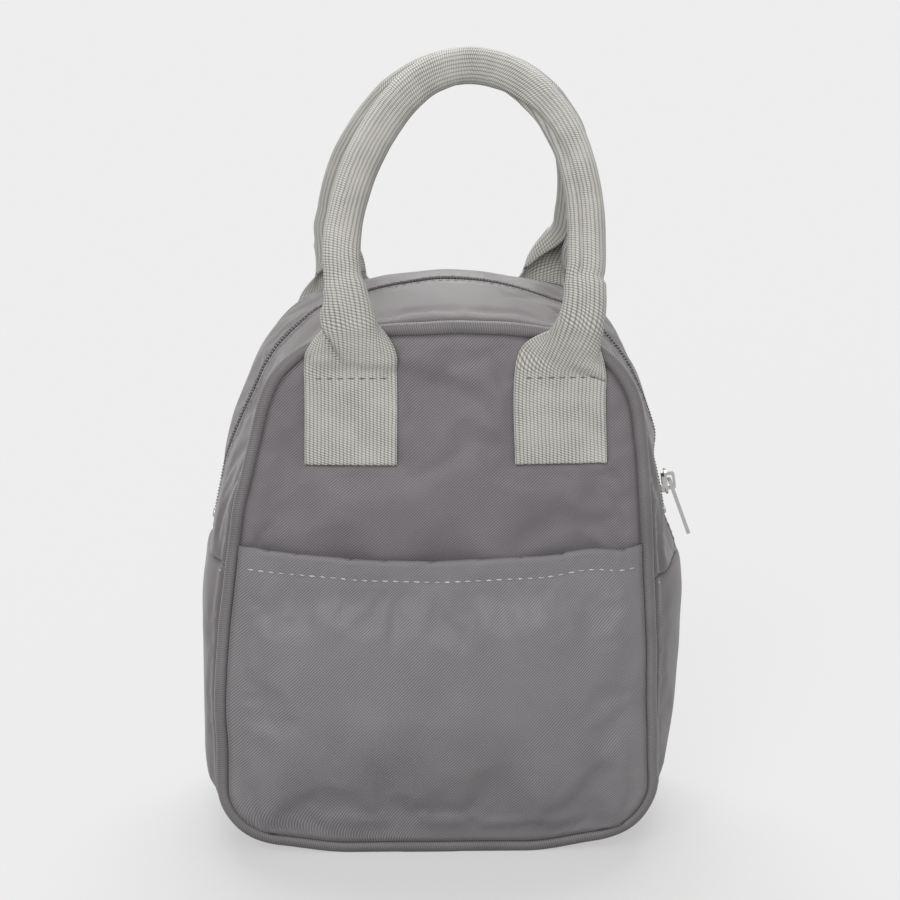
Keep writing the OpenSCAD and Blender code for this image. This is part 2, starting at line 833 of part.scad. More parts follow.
rear_panel();
rear_panel_foam();
rear_panel_lining();
front_panel_lower();
front_panel_lower_foam();
front_panel_lower_lining();
front_pocket();
pocket_hem();
lower_gusset();
lower_gusset_foam();
lower_gusset_lining();
rear_zip_strip();
rear_zip_strip_foam();
rear_zip_strip_lining();
front_strip_ends();
front_strip_ends_foam();
front_strip_ends_lining();
rear_piping_cover();
rear_piping_cord();
front_piping_cover_lower();
front_piping_cord_lower();
rear_seam_binding();
front_seam_binding_lower();
rear_zip_tape();
rear_zip_coil();
front_zip_tape_ends();
front_zip_coil_ends();
zip_end_stops();
rear_handle_ends();
front_panel_upper();
front_panel_upper_foam();
front_panel_upper_lining();
front_zip_strip();
front_zip_strip_foam();
front_zip_strip_lining();
front_piping_cover_upper();
front_piping_cord_upper();
front_seam_binding_upper();
front_zip_tape();
front_zip_coil();
front_handle_ends();
front_handle_webbing();
front_handle_cord();
rear_handle_webbing();
rear_handle_cord();
slider_body();
slider_bridge();
pull_tab();
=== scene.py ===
# %% [markdown]
# # A soft insulated lunch bag
# A lunch bag of this kind is sewn from padded panels. A round front and a round back are joined by a
# gusset, which carries a zip over the top. Cord-filled piping hides both round seams, a flat pocket sits
# low on the front, and two handles of wide webbing are folded into tubes.
#
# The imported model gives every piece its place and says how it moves. Here each soft piece is made again,
# in the same place, with its swell, its seams, its stitches and its weave.

# %% Load the frame
import math

import bmesh
import bpy
from mathutils import Matrix, Vector, noise
from mathutils.bvhtree import BVHTree


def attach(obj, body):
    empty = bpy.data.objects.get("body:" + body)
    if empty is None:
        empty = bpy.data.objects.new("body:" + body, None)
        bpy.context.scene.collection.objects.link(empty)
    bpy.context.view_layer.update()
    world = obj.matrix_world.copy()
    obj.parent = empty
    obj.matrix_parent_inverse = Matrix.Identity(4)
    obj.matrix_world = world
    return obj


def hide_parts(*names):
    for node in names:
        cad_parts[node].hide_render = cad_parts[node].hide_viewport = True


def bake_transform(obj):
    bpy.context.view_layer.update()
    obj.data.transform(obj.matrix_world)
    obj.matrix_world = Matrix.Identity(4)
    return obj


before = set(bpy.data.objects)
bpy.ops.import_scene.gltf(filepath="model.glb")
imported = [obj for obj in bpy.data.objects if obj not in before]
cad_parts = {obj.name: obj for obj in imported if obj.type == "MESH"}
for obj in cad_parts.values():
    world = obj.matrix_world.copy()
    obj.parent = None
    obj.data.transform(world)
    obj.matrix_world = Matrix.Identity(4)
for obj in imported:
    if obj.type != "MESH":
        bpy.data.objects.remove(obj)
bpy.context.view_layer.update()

scene = bpy.context.scene
MM = 0.001

# %% [markdown]
# ## Camera
# A long lens from a little above the bag keeps its sides almost upright. The camera could be placed by
# hand, but a direction, a distance and a point to look at are easier to read and to correct.

# %% Camera
AZIMUTH = math.radians(1.3)
ELEVATION = math.radians(13.6)
CAMERA_DISTANCE = 1.7
LENS = 154.1

forward = Vector((
    math.sin(AZIMUTH) * math.cos(ELEVATION),
    math.cos(AZIMUTH) * math.cos(ELEVATION),
    -math.sin(ELEVATION),
))
rightward = Vector((math.cos(AZIMUTH), -math.sin(AZIMUTH), 0))
upward = rightward.cross(forward)
bag_middle = Vector((0, 0, 0.115))
look_at = bag_middle + rightward * 0.007 + upward * 0.0483

camera_data = bpy.data.cameras.new("camera")
camera_data.lens = LENS
camera_data.sensor_width = 36
camera = bpy.data.objects.new("camera", camera_data)
scene.collection.objects.link(camera)
camera.location = bag_middle - forward * CAMERA_DISTANCE
camera.rotation_euler = (look_at - camera.location).to_track_quat("-Z", "Y").to_euler()
scene.camera = camera
scene.view_settings.view_transform = "Standard"
print("camera at", [round(c, 3) for c in camera.location])

# %% [markdown]
# ## Shader helpers
# A material is a small graph of nodes. Made by hand in a script, each node takes three lines, so two
# helpers keep the graphs short: one adds a node and fills its sockets, the other does one sum.


# %% Shader helpers
def put(tree, kind, settings=None, **sockets):
    """Adds a node. settings are its properties, and sockets its inputs: numbers, colours or links."""
    made = tree.nodes.new(kind)
    for key, value in (settings or {}).items():
        setattr(made, key, value)
    for key, value in sockets.items():
        socket = made.inputs[int(key[1:]) if key[0] == "_" and key[1:].isdigit() else key.replace("_", " ")]
        if isinstance(value, bpy.types.NodeSocket):
            tree.links.new(value, socket)
        else:
            socket.default_value = value
    return made


def sum_of(tree, operation, *terms):
    """The result of one Math node."""
    inputs = {f"_{i}": term for i, term in enumerate(terms)}
    return put(tree, "ShaderNodeMath", {"operation": operation}, **inputs).outputs[0]


def blend_colours(tree, amount, low, high, how="MIX"):
    """The colour between low and high."""
    mixed = put(tree, "ShaderNodeMix", {"data_type": "RGBA", "blend_type": how}, _0=amount, _6=low, _7=high)
    return mixed.outputs[2]


def new_group(name, inputs, outputs):
    """An empty shader node group, with its input and output nodes."""
    tree = bpy.data.node_groups.new(name, "ShaderNodeTree")
    for label, kind, value in inputs:
        socket = tree.interface.new_socket(label, in_out="INPUT", socket_type=kind)
        if value is not None:
            socket.default_value = value
    for label, kind in outputs:
        tree.interface.new_socket(label, in_out="OUTPUT", socket_type=kind)
    return tree, tree.nodes.new("NodeGroupInput"), tree.nodes.new("NodeGroupOutput")


def use_group(tree, group, **sockets):
    """Places a node group in a material."""
    return put(tree, "ShaderNodeGroup", {"node_tree": group}, **sockets)


def new_material(name):
    """An empty material, with its Principled BSDF."""
    material = bpy.data.materials.new(name)
    material.use_nodes = True
    return material, material.node_tree, material.node_tree.nodes["Principled BSDF"]


print("shader helpers ready")

# %% [markdown]
# ## Floor and light
# The bag stands on a plain pale floor that runs on behind it, so floor and background are one. Lamps
# near the bag would leave the far floor dark, so the light comes from wide, soft suns and a pale sky,
# which reach every part of the floor alike. To the camera the floor glows a little, which evens it out,
# but it still takes the bag's shadow.

# %% Floor
FLOOR_GREY = (0.40, 0.40, 0.40, 1)
FLOOR_GLOW = 0.53
floor_mesh = bpy.data.meshes.new("floor")
floor_bm = bmesh.new()
bmesh.ops.create_grid(floor_bm, x_segments=1, y_segments=1, size=60)
floor_bm.to_mesh(floor_mesh)
floor_bm.free()
floor = bpy.data.objects.new("floor", floor_mesh)
scene.collection.objects.link(floor)

floor_paint, tree, shader = new_material("floor")
shader.inputs["Base Color"].default_value = FLOOR_GREY
shader.inputs["Roughness"].default_value = 0.9
shader.inputs["Specular IOR Level"].default_value = 0.0
seen = put(tree, "ShaderNodeLightPath").outputs["Is Camera Ray"]
glow = put(tree, "ShaderNodeEmission", Color=(0.93, 0.93, 0.93, 1), Strength=FLOOR_GLOW)
matt = put(tree, "ShaderNodeBsdfDiffuse", Color=(0.25, 0.25, 0.25, 1))
glowing = put(tree, "ShaderNodeAddShader", _0=glow.outputs[0], _1=matt.outputs[0])
mixed = put(tree, "ShaderNodeMixShader", _0=seen, _1=shader.outputs[0], _2=glowing.outputs[0])
tree.links.new(mixed.outputs[0], tree.nodes["Material Output"].inputs[0])
floor_mesh.materials.append(floor_paint)
print("floor", floor.dimensions.x, "m wide")

# %% Sky and lamps
SKY = 0.38
world = bpy.data.worlds.new("sky")
world.use_nodes = True
world.node_tree.nodes["Background"].inputs["Color"].default_value = (1, 1, 1, 1)
world.node_tree.nodes["Background"].inputs["Strength"].default_value = SKY
scene.world = world


def add_sun(name, towards, strength, spread):
    """A soft sun that shines from a direction, with its spread in degrees."""
    lamp = bpy.data.lights.new(name, "SUN")
    lamp.energy = strength
    lamp.angle = math.radians(spread)
    sun = bpy.data.objects.new(name, lamp)
    sun.rotation_euler = Vector(towards).to_track_quat("Z", "Y").to_euler()
    scene.collection.objects.link(sun)


add_sun("key_lamp", (-0.2, -1.0, 0.55), 1.6, 40)
add_sun("top_lamp", (0.0, 0.6, 0.9), 3.1, 50)
print("sky", SKY, "lamps", len(bpy.data.lights))

# %% [markdown]
# ## Weaves
# The bag's cloth is a fine twill: its threads make thin slanting ribs, less than a millimetre apart. The
# handles are a coarse webbing, where each thread shows as a short pale dash. Both could be pictures, but
# a pattern worked out from the cloth's own UV map, in metres, stays sharp and keeps its real size. Each
# is a node group, so that every material can place it with its own pitch.

# %% Twill group
twill, group_in, group_out = new_group(
    "twill",
    [("UV", "NodeSocketVector", None), ("Pitch", "NodeSocketFloat", 0.00095), ("Mottle", "NodeSocketFloat", 1.0)],
    [("Height", "NodeSocketFloat"), ("Shade", "NodeSocketFloat")],
)
axes = put(twill, "ShaderNodeSeparateXYZ", _0=group_in.outputs["UV"])
across = sum_of(twill, "DIVIDE", axes.outputs[0], group_in.outputs["Pitch"])
along = sum_of(twill, "DIVIDE", axes.outputs[1], group_in.outputs["Pitch"])
drift = put(twill, "ShaderNodeTexNoise", Vector=group_in.outputs["UV"], Scale=260.0, Detail=2.0).outputs[0]
slant = sum_of(twill, "SUBTRACT", across, along)
slant = sum_of(twill, "MULTIPLY", slant, math.sqrt(0.5) * 2 * math.pi)
rib = sum_of(twill, "SINE", sum_of(twill, "ADD", slant, sum_of(twill, "MULTIPLY", drift, 3.0)))
other = sum_of(twill, "MULTIPLY", sum_of(twill, "ADD", across, along), 2 * math.pi)
thread = sum_of(twill, "MULTIPLY", sum_of(twill, "SINE", other), 0.35)
height = sum_of(twill, "ADD", rib, thread)
height = sum_of(twill, "MULTIPLY_ADD", height, 0.37, 0.5)
broad = put(twill, "ShaderNodeTexNoise", Vector=group_in.outputs["UV"], Scale=42.0, Detail=4.0).outputs[0]
broad = sum_of(twill, "MULTIPLY", sum_of(twill, "SUBTRACT", broad, 0.5), group_in.outputs["Mottle"])
# Shade: the rib pattern, as painted shade in the furrows and a painted highlight on the ribs, plus a broad random
# mottle of the cloth's own tone.
shade = sum_of(twill, "ADD", height, broad)
twill.links.new(height, group_out.inputs["Height"])
twill.links.new(shade, group_out.inputs["Shade"])
print("twill nodes:", len(twill.nodes))

# %% Webbing group
webbing_weave, group_in, group_out = new_group(
    "webbing weave",
    [("UV", "NodeSocketVector", None), ("Column", "NodeSocketFloat", 0.0015), ("Row", "NodeSocketFloat", 0.001)],
    [("Height", "NodeSocketFloat"), ("Shade", "NodeSocketFloat")],
)
tree = webbing_weave
wander = put(tree, "ShaderNodeTexNoise", Vector=group_in.outputs["UV"], Scale=150.0, Detail=2.0).outputs["Color"]
wander = put(tree, "ShaderNodeVectorMath", {"operation": "SCALE"}, _0=wander, Scale=0.0006).outputs[0]
place = put(tree, "ShaderNodeVectorMath", {"operation": "ADD"}, _0=group_in.outputs["UV"], _1=wander).outputs[0]
axes = put(tree, "ShaderNodeSeparateXYZ", _0=place)
column = sum_of(tree, "DIVIDE", axes.outputs[0], group_in.outputs["Column"])
in_column = sum_of(tree, "FRACT", column)
odd = sum_of(tree, "MODULO", sum_of(tree, "FLOOR", column), 2.0)
row = sum_of(tree, "DIVIDE", axes.outputs[1], group_in.outputs["Row"])
row = sum_of(tree, "ADD", row, sum_of(tree, "MULTIPLY", odd, 0.5))
row = sum_of(tree, "ADD", row, sum_of(tree, "MULTIPLY", in_column, 0.55))
in_row = sum_of(tree, "FRACT", row)
round_across = sum_of(tree, "SINE", sum_of(tree, "MULTIPLY", in_column, math.pi))
round_along = sum_of(tree, "SINE", sum_of(tree, "MULTIPLY", in_row, math.pi))
dash = sum_of(tree, "MULTIPLY", sum_of(tree, "POWER", round_across, 0.5), sum_of(tree, "POWER", round_along, 0.7))
fibre = put(tree, "ShaderNodeTexNoise", Vector=place, Scale=2400.0, Detail=2.0).outputs[0]
height = sum_of(tree, "MULTIPLY_ADD", fibre, 0.25, sum_of(tree, "MULTIPLY", dash, 0.85))
broad = put(tree, "ShaderNodeTexNoise", Vector=group_in.outputs["UV"], Scale=60.0, Detail=3.0).outputs[0]
# Shade: each thread's dash, pale on the thread and dark in the gaps as painted shade, plus a broad random tone of the
# webbing.
shade = sum_of(tree, "MULTIPLY_ADD", sum_of(tree, "SUBTRACT", broad, 0.5), 0.5, height)
tree.links.new(height, group_out.inputs["Height"])
tree.links.new(shade, group_out.inputs["Shade"])
print("webbing nodes:", len(tree.nodes))

# %% [markdown]
# ## Finishes
# The twill has a soft satin look: fairly rough, with a little sheen, with a painted highlight that makes each
# rib paler and painted shade in the furrows. The webbing is matt, with painted shade in the gaps between its
# threads. One function makes each family, and every piece takes its own colours and pitch from it.


# %% Cloth finishes
def twill_finish(name, low, high, pitch=0.00095, mottle=0.45, roughness=0.47, sheen=0.25, relief=0.00012):
    """A twill between two colours: painted shade, low in the furrows, and a painted highlight, high on the ribs."""
    material, tree, shader = new_material(name)
    uv = put(tree, "ShaderNodeUVMap", {"uv_map": "cloth"}).outputs[0]
    weave = use_group(tree, twill, UV=uv, Pitch=pitch, Mottle=mottle)
    # The base colour carries the painted shade and painted highlight of the ribs.
    tree.links.new(blend_colours(tree, weave.outputs["Shade"], low, high), shader.inputs["Base Color"])
    bump = put(tree, "ShaderNodeBump", Height=weave.outputs["Height"], Strength=0.8, Distance=relief)
    tree.links.new(bump.outputs[0], shader.inputs["Normal"])
    rough = sum_of(tree, "MULTIPLY_ADD", weave.outputs["Shade"], -0.08, roughness + 0.04)
    tree.links.new(rough, shader.inputs["Roughness"])
    shader.inputs["Sheen Weight"].default_value = sheen
    shader.inputs["Sheen Roughness"].default_value = 0.45
    shader.inputs["Specular IOR Level"].default_value = 0.45
    return material


def woven_finish(name, low, high, column=0.0015, row=0.001, relief=0.0003):
    """A webbing or tape between two colours: painted shade, low in the gaps, and paler on the threads."""
    material, tree, shader = new_material(name)
    uv = put(tree, "ShaderNodeUVMap", {"uv_map": "cloth"}).outputs[0]
    weave = use_group(tree, webbing_weave, UV=uv, Column=column, Row=row)
    tone = put(tree, "ShaderNodeMapRange", _0=weave.outputs["Shade"], _1=0.12, _2=0.85).outputs[0]
    # The base colour carries the painted shade in the gaps between threads.
    tree.links.new(blend_colours(tree, tone, low, high), shader.inputs["Base Color"])
    bump = put(tree, "ShaderNodeBump", Height=weave.outputs["Height"], Strength=0.7, Distance=relief)
    tree.links.new(bump.outputs[0], shader.inputs["Normal"])
    shader.inputs["Roughness"].default_value = 0.85
    shader.inputs["Sheen Weight"].default_value = 0.15
    return material


panel_cloth = twill_finish("panel cloth", (0.102, 0.092, 0.099, 1), (0.256, 0.236, 0.252, 1))
pocket_cloth = twill_finish("pocket cloth", (0.132, 0.125, 0.131, 1), (0.310, 0.297, 0.308, 1))
# The gusset's twill is the panels' cloth made darker: painted shade for the bag's sides.
gusset_cloth = twill_finish("gusset cloth", (0.094, 0.082, 0.084, 1), (0.204, 0.182, 0.186, 1))
piping_cloth = twill_finish("piping cloth", (0.120, 0.110, 0.114, 1), (0.235, 0.220, 0.226, 1), mottle=0.9)
webbing = woven_finish("handle webbing", (0.160, 0.156, 0.144, 1), (0.660, 0.645, 0.600, 1))
zip_tape = woven_finish("zip tape", (0.032, 0.030, 0.030, 1), (0.085, 0.080, 0.081, 1), 0.0008, 0.0006, 0.0001)
binding_cloth = woven_finish("seam binding", (0.110, 0.105, 0.108, 1), (0.230, 0.222, 0.226, 1), 0.0009, 0.0007, 0.0001)
print("cloths:", [m.name for m in bpy.data.materials])

# %% Thread, coil, lining and metal
def thread_finish(name, dark, pale):
    """A twisted sewing thread, its speckle and twist placed in the piece's own space."""
    material, tree, shader = new_material(name)
    spot = put(tree, "ShaderNodeTexCoord").outputs["Object"]
    speck = put(tree, "ShaderNodeTexNoise", Vector=spot, Scale=420.0, Detail=2.0).outputs[0]
    tone = put(tree, "ShaderNodeMapRange", _0=speck, _1=0.35, _2=0.65).outputs[0]
    tree.links.new(blend_colours(tree, tone, dark, pale), shader.inputs["Base Color"])
    twist = put(tree, "ShaderNodeTexWave", Vector=spot, Scale=900.0, Distortion=2.0).outputs[0]
    bump = put(tree, "ShaderNodeBump", Height=twist, Strength=0.4, Distance=0.0001)
    tree.links.new(bump.outputs[0], shader.inputs["Normal"])
    shader.inputs["Roughness"].default_value = 0.6
    shader.inputs["Sheen Weight"].default_value = 0.3
    return material


pale_thread = thread_finish("pale thread", (0.42, 0.41, 0.42, 1), (0.68, 0.67, 0.68, 1))
dark_thread = thread_finish("dark thread", (0.10, 0.10, 0.115, 1), (0.20, 0.195, 0.215, 1))
zip_thread = thread_finish("zip thread", (0.16, 0.15, 0.155, 1), (0.44, 0.43, 0.435, 1))

coil_plastic, tree, shader = new_material("zip coil")
spot = put(tree, "ShaderNodeTexCoord").outputs["Object"]
speck = put(tree, "ShaderNodeTexNoise", Vector=spot, Scale=900.0, Detail=2.0).outputs[0]
tree.links.new(blend_colours(tree, speck, (0.055, 0.052, 0.054, 1), (0.12, 0.115, 0.118, 1)), shader.inputs["Base Color"])
shader.inputs["Roughness"].default_value = 0.38

lining_film, tree, shader = new_material("lining film")
spot = put(tree, "ShaderNodeTexCoord").outputs["Object"]
crease = put(tree, "ShaderNodeTexNoise", Vector=spot, Scale=55.0, Detail=5.0, Distortion=0.6).outputs[0]
grain = put(tree, "ShaderNodeTexNoise", Vector=spot, Scale=700.0, Detail=2.0).outputs[0]
# The crease noise also sets the colour: painted shade, darker in the hollows of the creases, over the bump that makes
# them.
tree.links.new(blend_colours(tree, crease, (0.55, 0.56, 0.57, 1), (0.68, 0.69, 0.70, 1)), shader.inputs["Base Color"])
tree.links.new(sum_of(tree, "MULTIPLY_ADD", grain, 0.2, 0.25), shader.inputs["Roughness"])
bump = put(tree, "ShaderNodeBump", Height=crease, Strength=0.5, Distance=0.0015)
tree.links.new(bump.outputs[0], shader.inputs["Normal"])
shader.inputs["Metallic"].default_value = 0.35

nickel, tree, shader = new_material("nickel")
spot = put(tree, "ShaderNodeTexCoord").outputs["Object"]
haze = put(tree, "ShaderNodeTexNoise", Vector=spot, Scale=500.0, Detail=3.0).outputs[0]
tree.links.new(blend_colours(tree, haze, (0.60, 0.59, 0.57, 1), (0.80, 0.79, 0.77, 1)), shader.inputs["Base Color"])
tree.links.new(sum_of(tree, "MULTIPLY_ADD", haze, 0.22, 0.12), shader.inputs["Roughness"])
shader.inputs["Metallic"].default_value = 1.0
print("finishes:", len(bpy.data.materials))

# %% [markdown]
# ## The seam
# Front and back share one outline: a flat base, round lower corners, sides that lean in a little, round
# shoulders and a shallow crown. Everything on the bag is placed by that line: a distance along it, and a
# place between front and back. The same sizes as in the model are used, in millimetres.

# %% Sizes
HALF_W = 92.0
SEAM_TOP = 230.0
SEAM_Y = 60.0
BOTTOM_R = 24.0
SHOULDER_R = 40.0
SIDE_R = 780.0
CROWN_R = 250.0
SIDE_START_Z = 55.0
PIPING_R = 2.75
INSET = 2.3
GUSSET_Y = SEAM_Y - INSET
FACE_Y = 62.0
CLOTH_T = 0.8
FOAM_T = 3.0
LINING_T = 0.6
SHELL_T = CLOTH_T + FOAM_T
WALL_T = SHELL_T + LINING_T
STRIP_LEFT_Z = 126.0
STRIP_RIGHT_Z = 118.5
ZIP_STOP_Z = 136.0


def ease(u):
    """0 below 0, 1 above 1, and a smooth rise between them."""
    u = max(0.0, min(1.0, u))
    return u * u * (3 - 2 * u)


def mix(a, b, u):
    return a + (b - a) * u


# %% Seam
side_c = Vector((HALF_W - SIDE_R, SIDE_START_Z))
crown_c = Vector((0, SEAM_TOP - CROWN_R))
side_reach = SIDE_R - SHOULDER_R
crown_reach = CROWN_R - SHOULDER_R
centre_gap = (crown_c - side_c).length
unit = (crown_c - side_c) / centre_gap
along = (side_reach**2 - crown_reach**2 + centre_gap**2) / (2 * centre_gap)
shoulder_c = side_c + unit * along + Vector((-unit.y, unit.x)) * math.sqrt(side_reach**2 - along**2)
side_end_a = math.atan2(shoulder_c.y - side_c.y, shoulder_c.x - side_c.x)
crown_start_a = math.atan2(shoulder_c.y - crown_c.y, shoulder_c.x - crown_c.x)
corner_c = Vector((HALF_W - BOTTOM_R, PIPING_R + BOTTOM_R))

CROWN_END = CROWN_R * (math.pi / 2 - crown_start_a)
SHOULDER_END = CROWN_END + SHOULDER_R * (crown_start_a - side_end_a)
SIDE_END = SHOULDER_END + SIDE_R * side_end_a
UPRIGHT_END = SIDE_END + SIDE_START_Z - corner_c.y
CORNER_END = UPRIGHT_END + BOTTOM_R * math.pi / 2
SEAM_END = CORNER_END + corner_c.x


def on_arc(centre, radius, angle):
    c, s = math.cos(angle), math.sin(angle)
    return centre.x + radius * c, centre.y + radius * s, c, s


def half_seam(d):
    """A point of the right half of the seam: x, z and its outward normal, d mm from the crown's middle."""
    if d < CROWN_END:
        return on_arc(crown_c, CROWN_R, math.pi / 2 - d / CROWN_R)
    if d < SHOULDER_END:
        return on_arc(shoulder_c, SHOULDER_R, crown_start_a - (d - CROWN_END) / SHOULDER_R)
    if d < SIDE_END:
        return on_arc(side_c, SIDE_R, side_end_a - (d - SHOULDER_END) / SIDE_R)
    if d < UPRIGHT_END:
        return HALF_W, SIDE_START_Z - (d - SIDE_END), 1.0, 0.0
    if d < CORNER_END:
        return on_arc(corner_c, BOTTOM_R, -(d - UPRIGHT_END) / BOTTOM_R)
    return corner_c.x - (d - CORNER_END), PIPING_R, 0.0, -1.0


def seam(d):
    """The whole seam: distances below 0, or past the middle of the base, are on the left."""
    folded = abs(d) if d <= SEAM_END else 2 * SEAM_END - d
    x, z, nx, nz = half_seam(folded)
    return (-x, z, -nx, nz) if d < 0 or d > SEAM_END else (x, z, nx, nz)


def side_distance(z):
    """How far along the seam a height on the side is."""
    return SHOULDER_END + SIDE_R * (side_end_a - math.asin((z - SIDE_START_Z) / SIDE_R))


STRIP_LEFT = -side_distance(STRIP_LEFT_Z)
STRIP_RIGHT = side_distance(STRIP_RIGHT_Z)
ROUND_LEFT = 2 * SEAM_END + STRIP_LEFT
print("seam:", round(2 * SEAM_END), "mm round; zip strips:", round(STRIP_RIGHT - STRIP_LEFT), "mm long")

# %% [markdown]
# ## Soft cloth
# A sewn bag never stands quite true. Its top leans a little to one side, and the cloth has shallow
# hollows. If each piece had hollows of its own the seams would open, so one field moves all of them: it
# takes a point and gives it back, slightly shifted. It fades out beside the slider, which is hard, and at
# the floor.


# %% Soft field
def lean(z, y=-60.0):
    """How far the bag leans to the right at a height. Its front leans further than its back."""
    middle = 4.0 * ease(z / 110) + 1.9 * ease((z - 160) / 35)
    return mix(6.5 * ease((z - 95) / 140), middle, ease((y + 60) / 60))


def beside_slider(x, y, z):
    """1 on the zip where the slider rests, and 0 away from it."""
    return ease((x - 70) / 20) * ease((46 - abs(y)) / 26) * ease((z - 122) / 16) * ease((174 - z) / 14)


def softened(p):
    """A point of the bag, moved by its lean, its shallow hollows and its lifted lower corners."""
    x, y, z = p
    calm = ease(z / 30) * (1 - ease((x - 70) / 20) * ease((z - 118) / 12) * ease((205 - z) / 15))
    aside = lean(z, y) * (1 - 0.85 * beside_slider(x, y, z))
    lift = (5.0 if x > 0 else 4.0) * ease((abs(x) - 38) / 40) * ease((45 - z) / 35)
    wave = noise.noise_vector(Vector((x, y, z)) * 0.021 + Vector((3.1, 8.4, 1.7)))
    ripple = noise.noise_vector(Vector((x, y, z)) * 0.055 + Vector((9.3, 2.2, 5.6)))
    return Vector((x + aside, y, z + lift)) + (wave * 1.3 + ripple * 0.45) * calm


SWELL_STOPS = (
    (0, 10.2), (CROWN_END, 5.4), ((CROWN_END + SHOULDER_END) / 2, 1.8), (SHOULDER_END - 4.5, 2.6),
    (side_distance(187.5), 4.8), (side_distance(172), 8.4), (side_distance(157), 10.6),
    (side_distance(142), 11.9), (side_distance(126), 12.4), (side_distance(112), 12.8), (side_distance(96), 12.6),
    (side_distance(77), 11.6), (side_distance(59), 10.4), (UPRIGHT_END, 7.6),
    ((UPRIGHT_END + CORNER_END) / 2, 5.0), (CORNER_END, 5.4), (SEAM_END, 6.0),
)
ZIP_TILT = {-1: 0.13, 1: 0.05}


def smooth_through(stops, at):
    """A smooth curve through stops, a list of (place, value)."""
    last = len(stops) - 1
    i = max([k for k in range(last) if stops[k][0] <= at], default=0)

    def slope(k):
        if k in (0, last):
            return 0.0
        return (stops[k + 1][1] - stops[k - 1][1]) / (stops[k + 1][0] - stops[k - 1][0])

    (d0, low), (d1, high) = stops[i], stops[i + 1]
    span = d1 - d0
    u = max(0.0, min(1.0, (at - d0) / span))
    rise = span * (slope(i) * u * (1 - u) ** 2 - slope(i + 1) * u * u * (1 - u))
    return mix(low, high, ease(u)) + rise


swell_line = [smooth_through(SWELL_STOPS, d * 0.5) for d in range(int(SEAM_END * 2) + 2)]


def swell_at(d, y):
    """How far the gusset stands out past the seam. High on the sides it is fullest behind the zip."""
    folded = abs(d) if d <= SEAM_END else 2 * SEAM_END - d
    step = min(int(folded * 2), len(swell_line) - 2)
    middle = mix(swell_line[step], swell_line[step + 1], folded * 2 - step)
    tilt = ZIP_TILT[1 if 0 <= d <= SEAM_END else -1] * ease((folded - CROWN_END) / 25) * ease((side_distance(140) - folded) / 40)
    return middle * (1 - (abs(y) / SEAM_Y) ** 2.2) + tilt * y * (1 - (y / SEAM_Y) ** 2)


def gusset_point(d, y, depth=0.0, proud=0.0):
    """A point of the gusset, under its outer face by a depth, or proud of it."""
    x, z, nx, nz = seam(d)
    out = swell_at(d, y) - depth + proud
    return Vector((x + nx * out, y, max(z + nz * out, depth + 0.05)))


print("swell on the side:", round(swell_at(SHOULDER_END + 20, 0), 1), "mm")

# %% [markdown]
# ## Making a patch of cloth
# Almost every piece of the bag is a strip or a panel of cloth. Each starts as a flat grid, like cloth on
# the cutting table. The grid keeps its flat size in a UV map called cloth, which the weaves read, and
# then each corner is moved to its place on the bag.


# %% Patch
def patch(columns, rows, place, flat):
    """A grid whose corner (u, v), from 0 to 1, goes to place(u, v); flat(u, v) is its spot on the cut cloth. Both in mm."""
    bm = bmesh.new()
    bmesh.ops.create_grid(bm, x_segments=columns, y_segments=rows, size=0.5)
    cloth = bm.loops.layers.uv.new("cloth")
    for face in bm.faces:
        for loop in face.loops:
            spot = flat(loop.vert.co.x + 0.5, loop.vert.co.y + 0.5)
            loop[cloth].uv = (spot[0] * MM, spot[1] * MM)
    for vert in bm.verts:
        vert.co = Vector(place(vert.co.x + 0.5, vert.co.y + 0.5)) * MM
    return bm


def weld(bm, gap=0.01):
    """Joins the meeting edges of a patch that closes on itself."""
    bmesh.ops.remove_doubles(bm, verts=bm.verts[:], dist=gap * MM)


def thicken(bm, thickness):
    """Gives a patch a back, that many mm behind its face."""
    bm.normal_update()
    bmesh.ops.solidify(bm, geom=bm.faces[:], thickness=thickness * MM)


def finish_piece(name, bm, material, rides=None, replaces=()):
    """Makes the mesh an object, and tells the frame what it is."""
    mesh = bpy.data.meshes.new(name)
    bm.to_mesh(mesh)
    bm.free()
    for polygon in mesh.polygons:
        polygon.use_smooth = True
    mesh.materials.append(material)
    piece = bpy.data.objects.new(name, mesh)
    scene.collection.objects.link(piece)
    if replaces:
        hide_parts(*replaces)
    if rides == "flap fold":
        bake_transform(piece)
    elif rides:
        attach(piece, rides)
    print(name, len(mesh.polygons), "faces")
    return piece


# %% [markdown]
# ## Letting cloth settle
# Padded cloth is never smooth: it is sewn down at its edges, a little full, and pushed out by its foam.
# Noise alone looks like dough. A short cloth simulation gives the real thing: the patch is pinned along
# its seams, is cut slightly too large, and is pushed from behind. Twenty steps are enough, and no point
# may move further than a few millimetres.


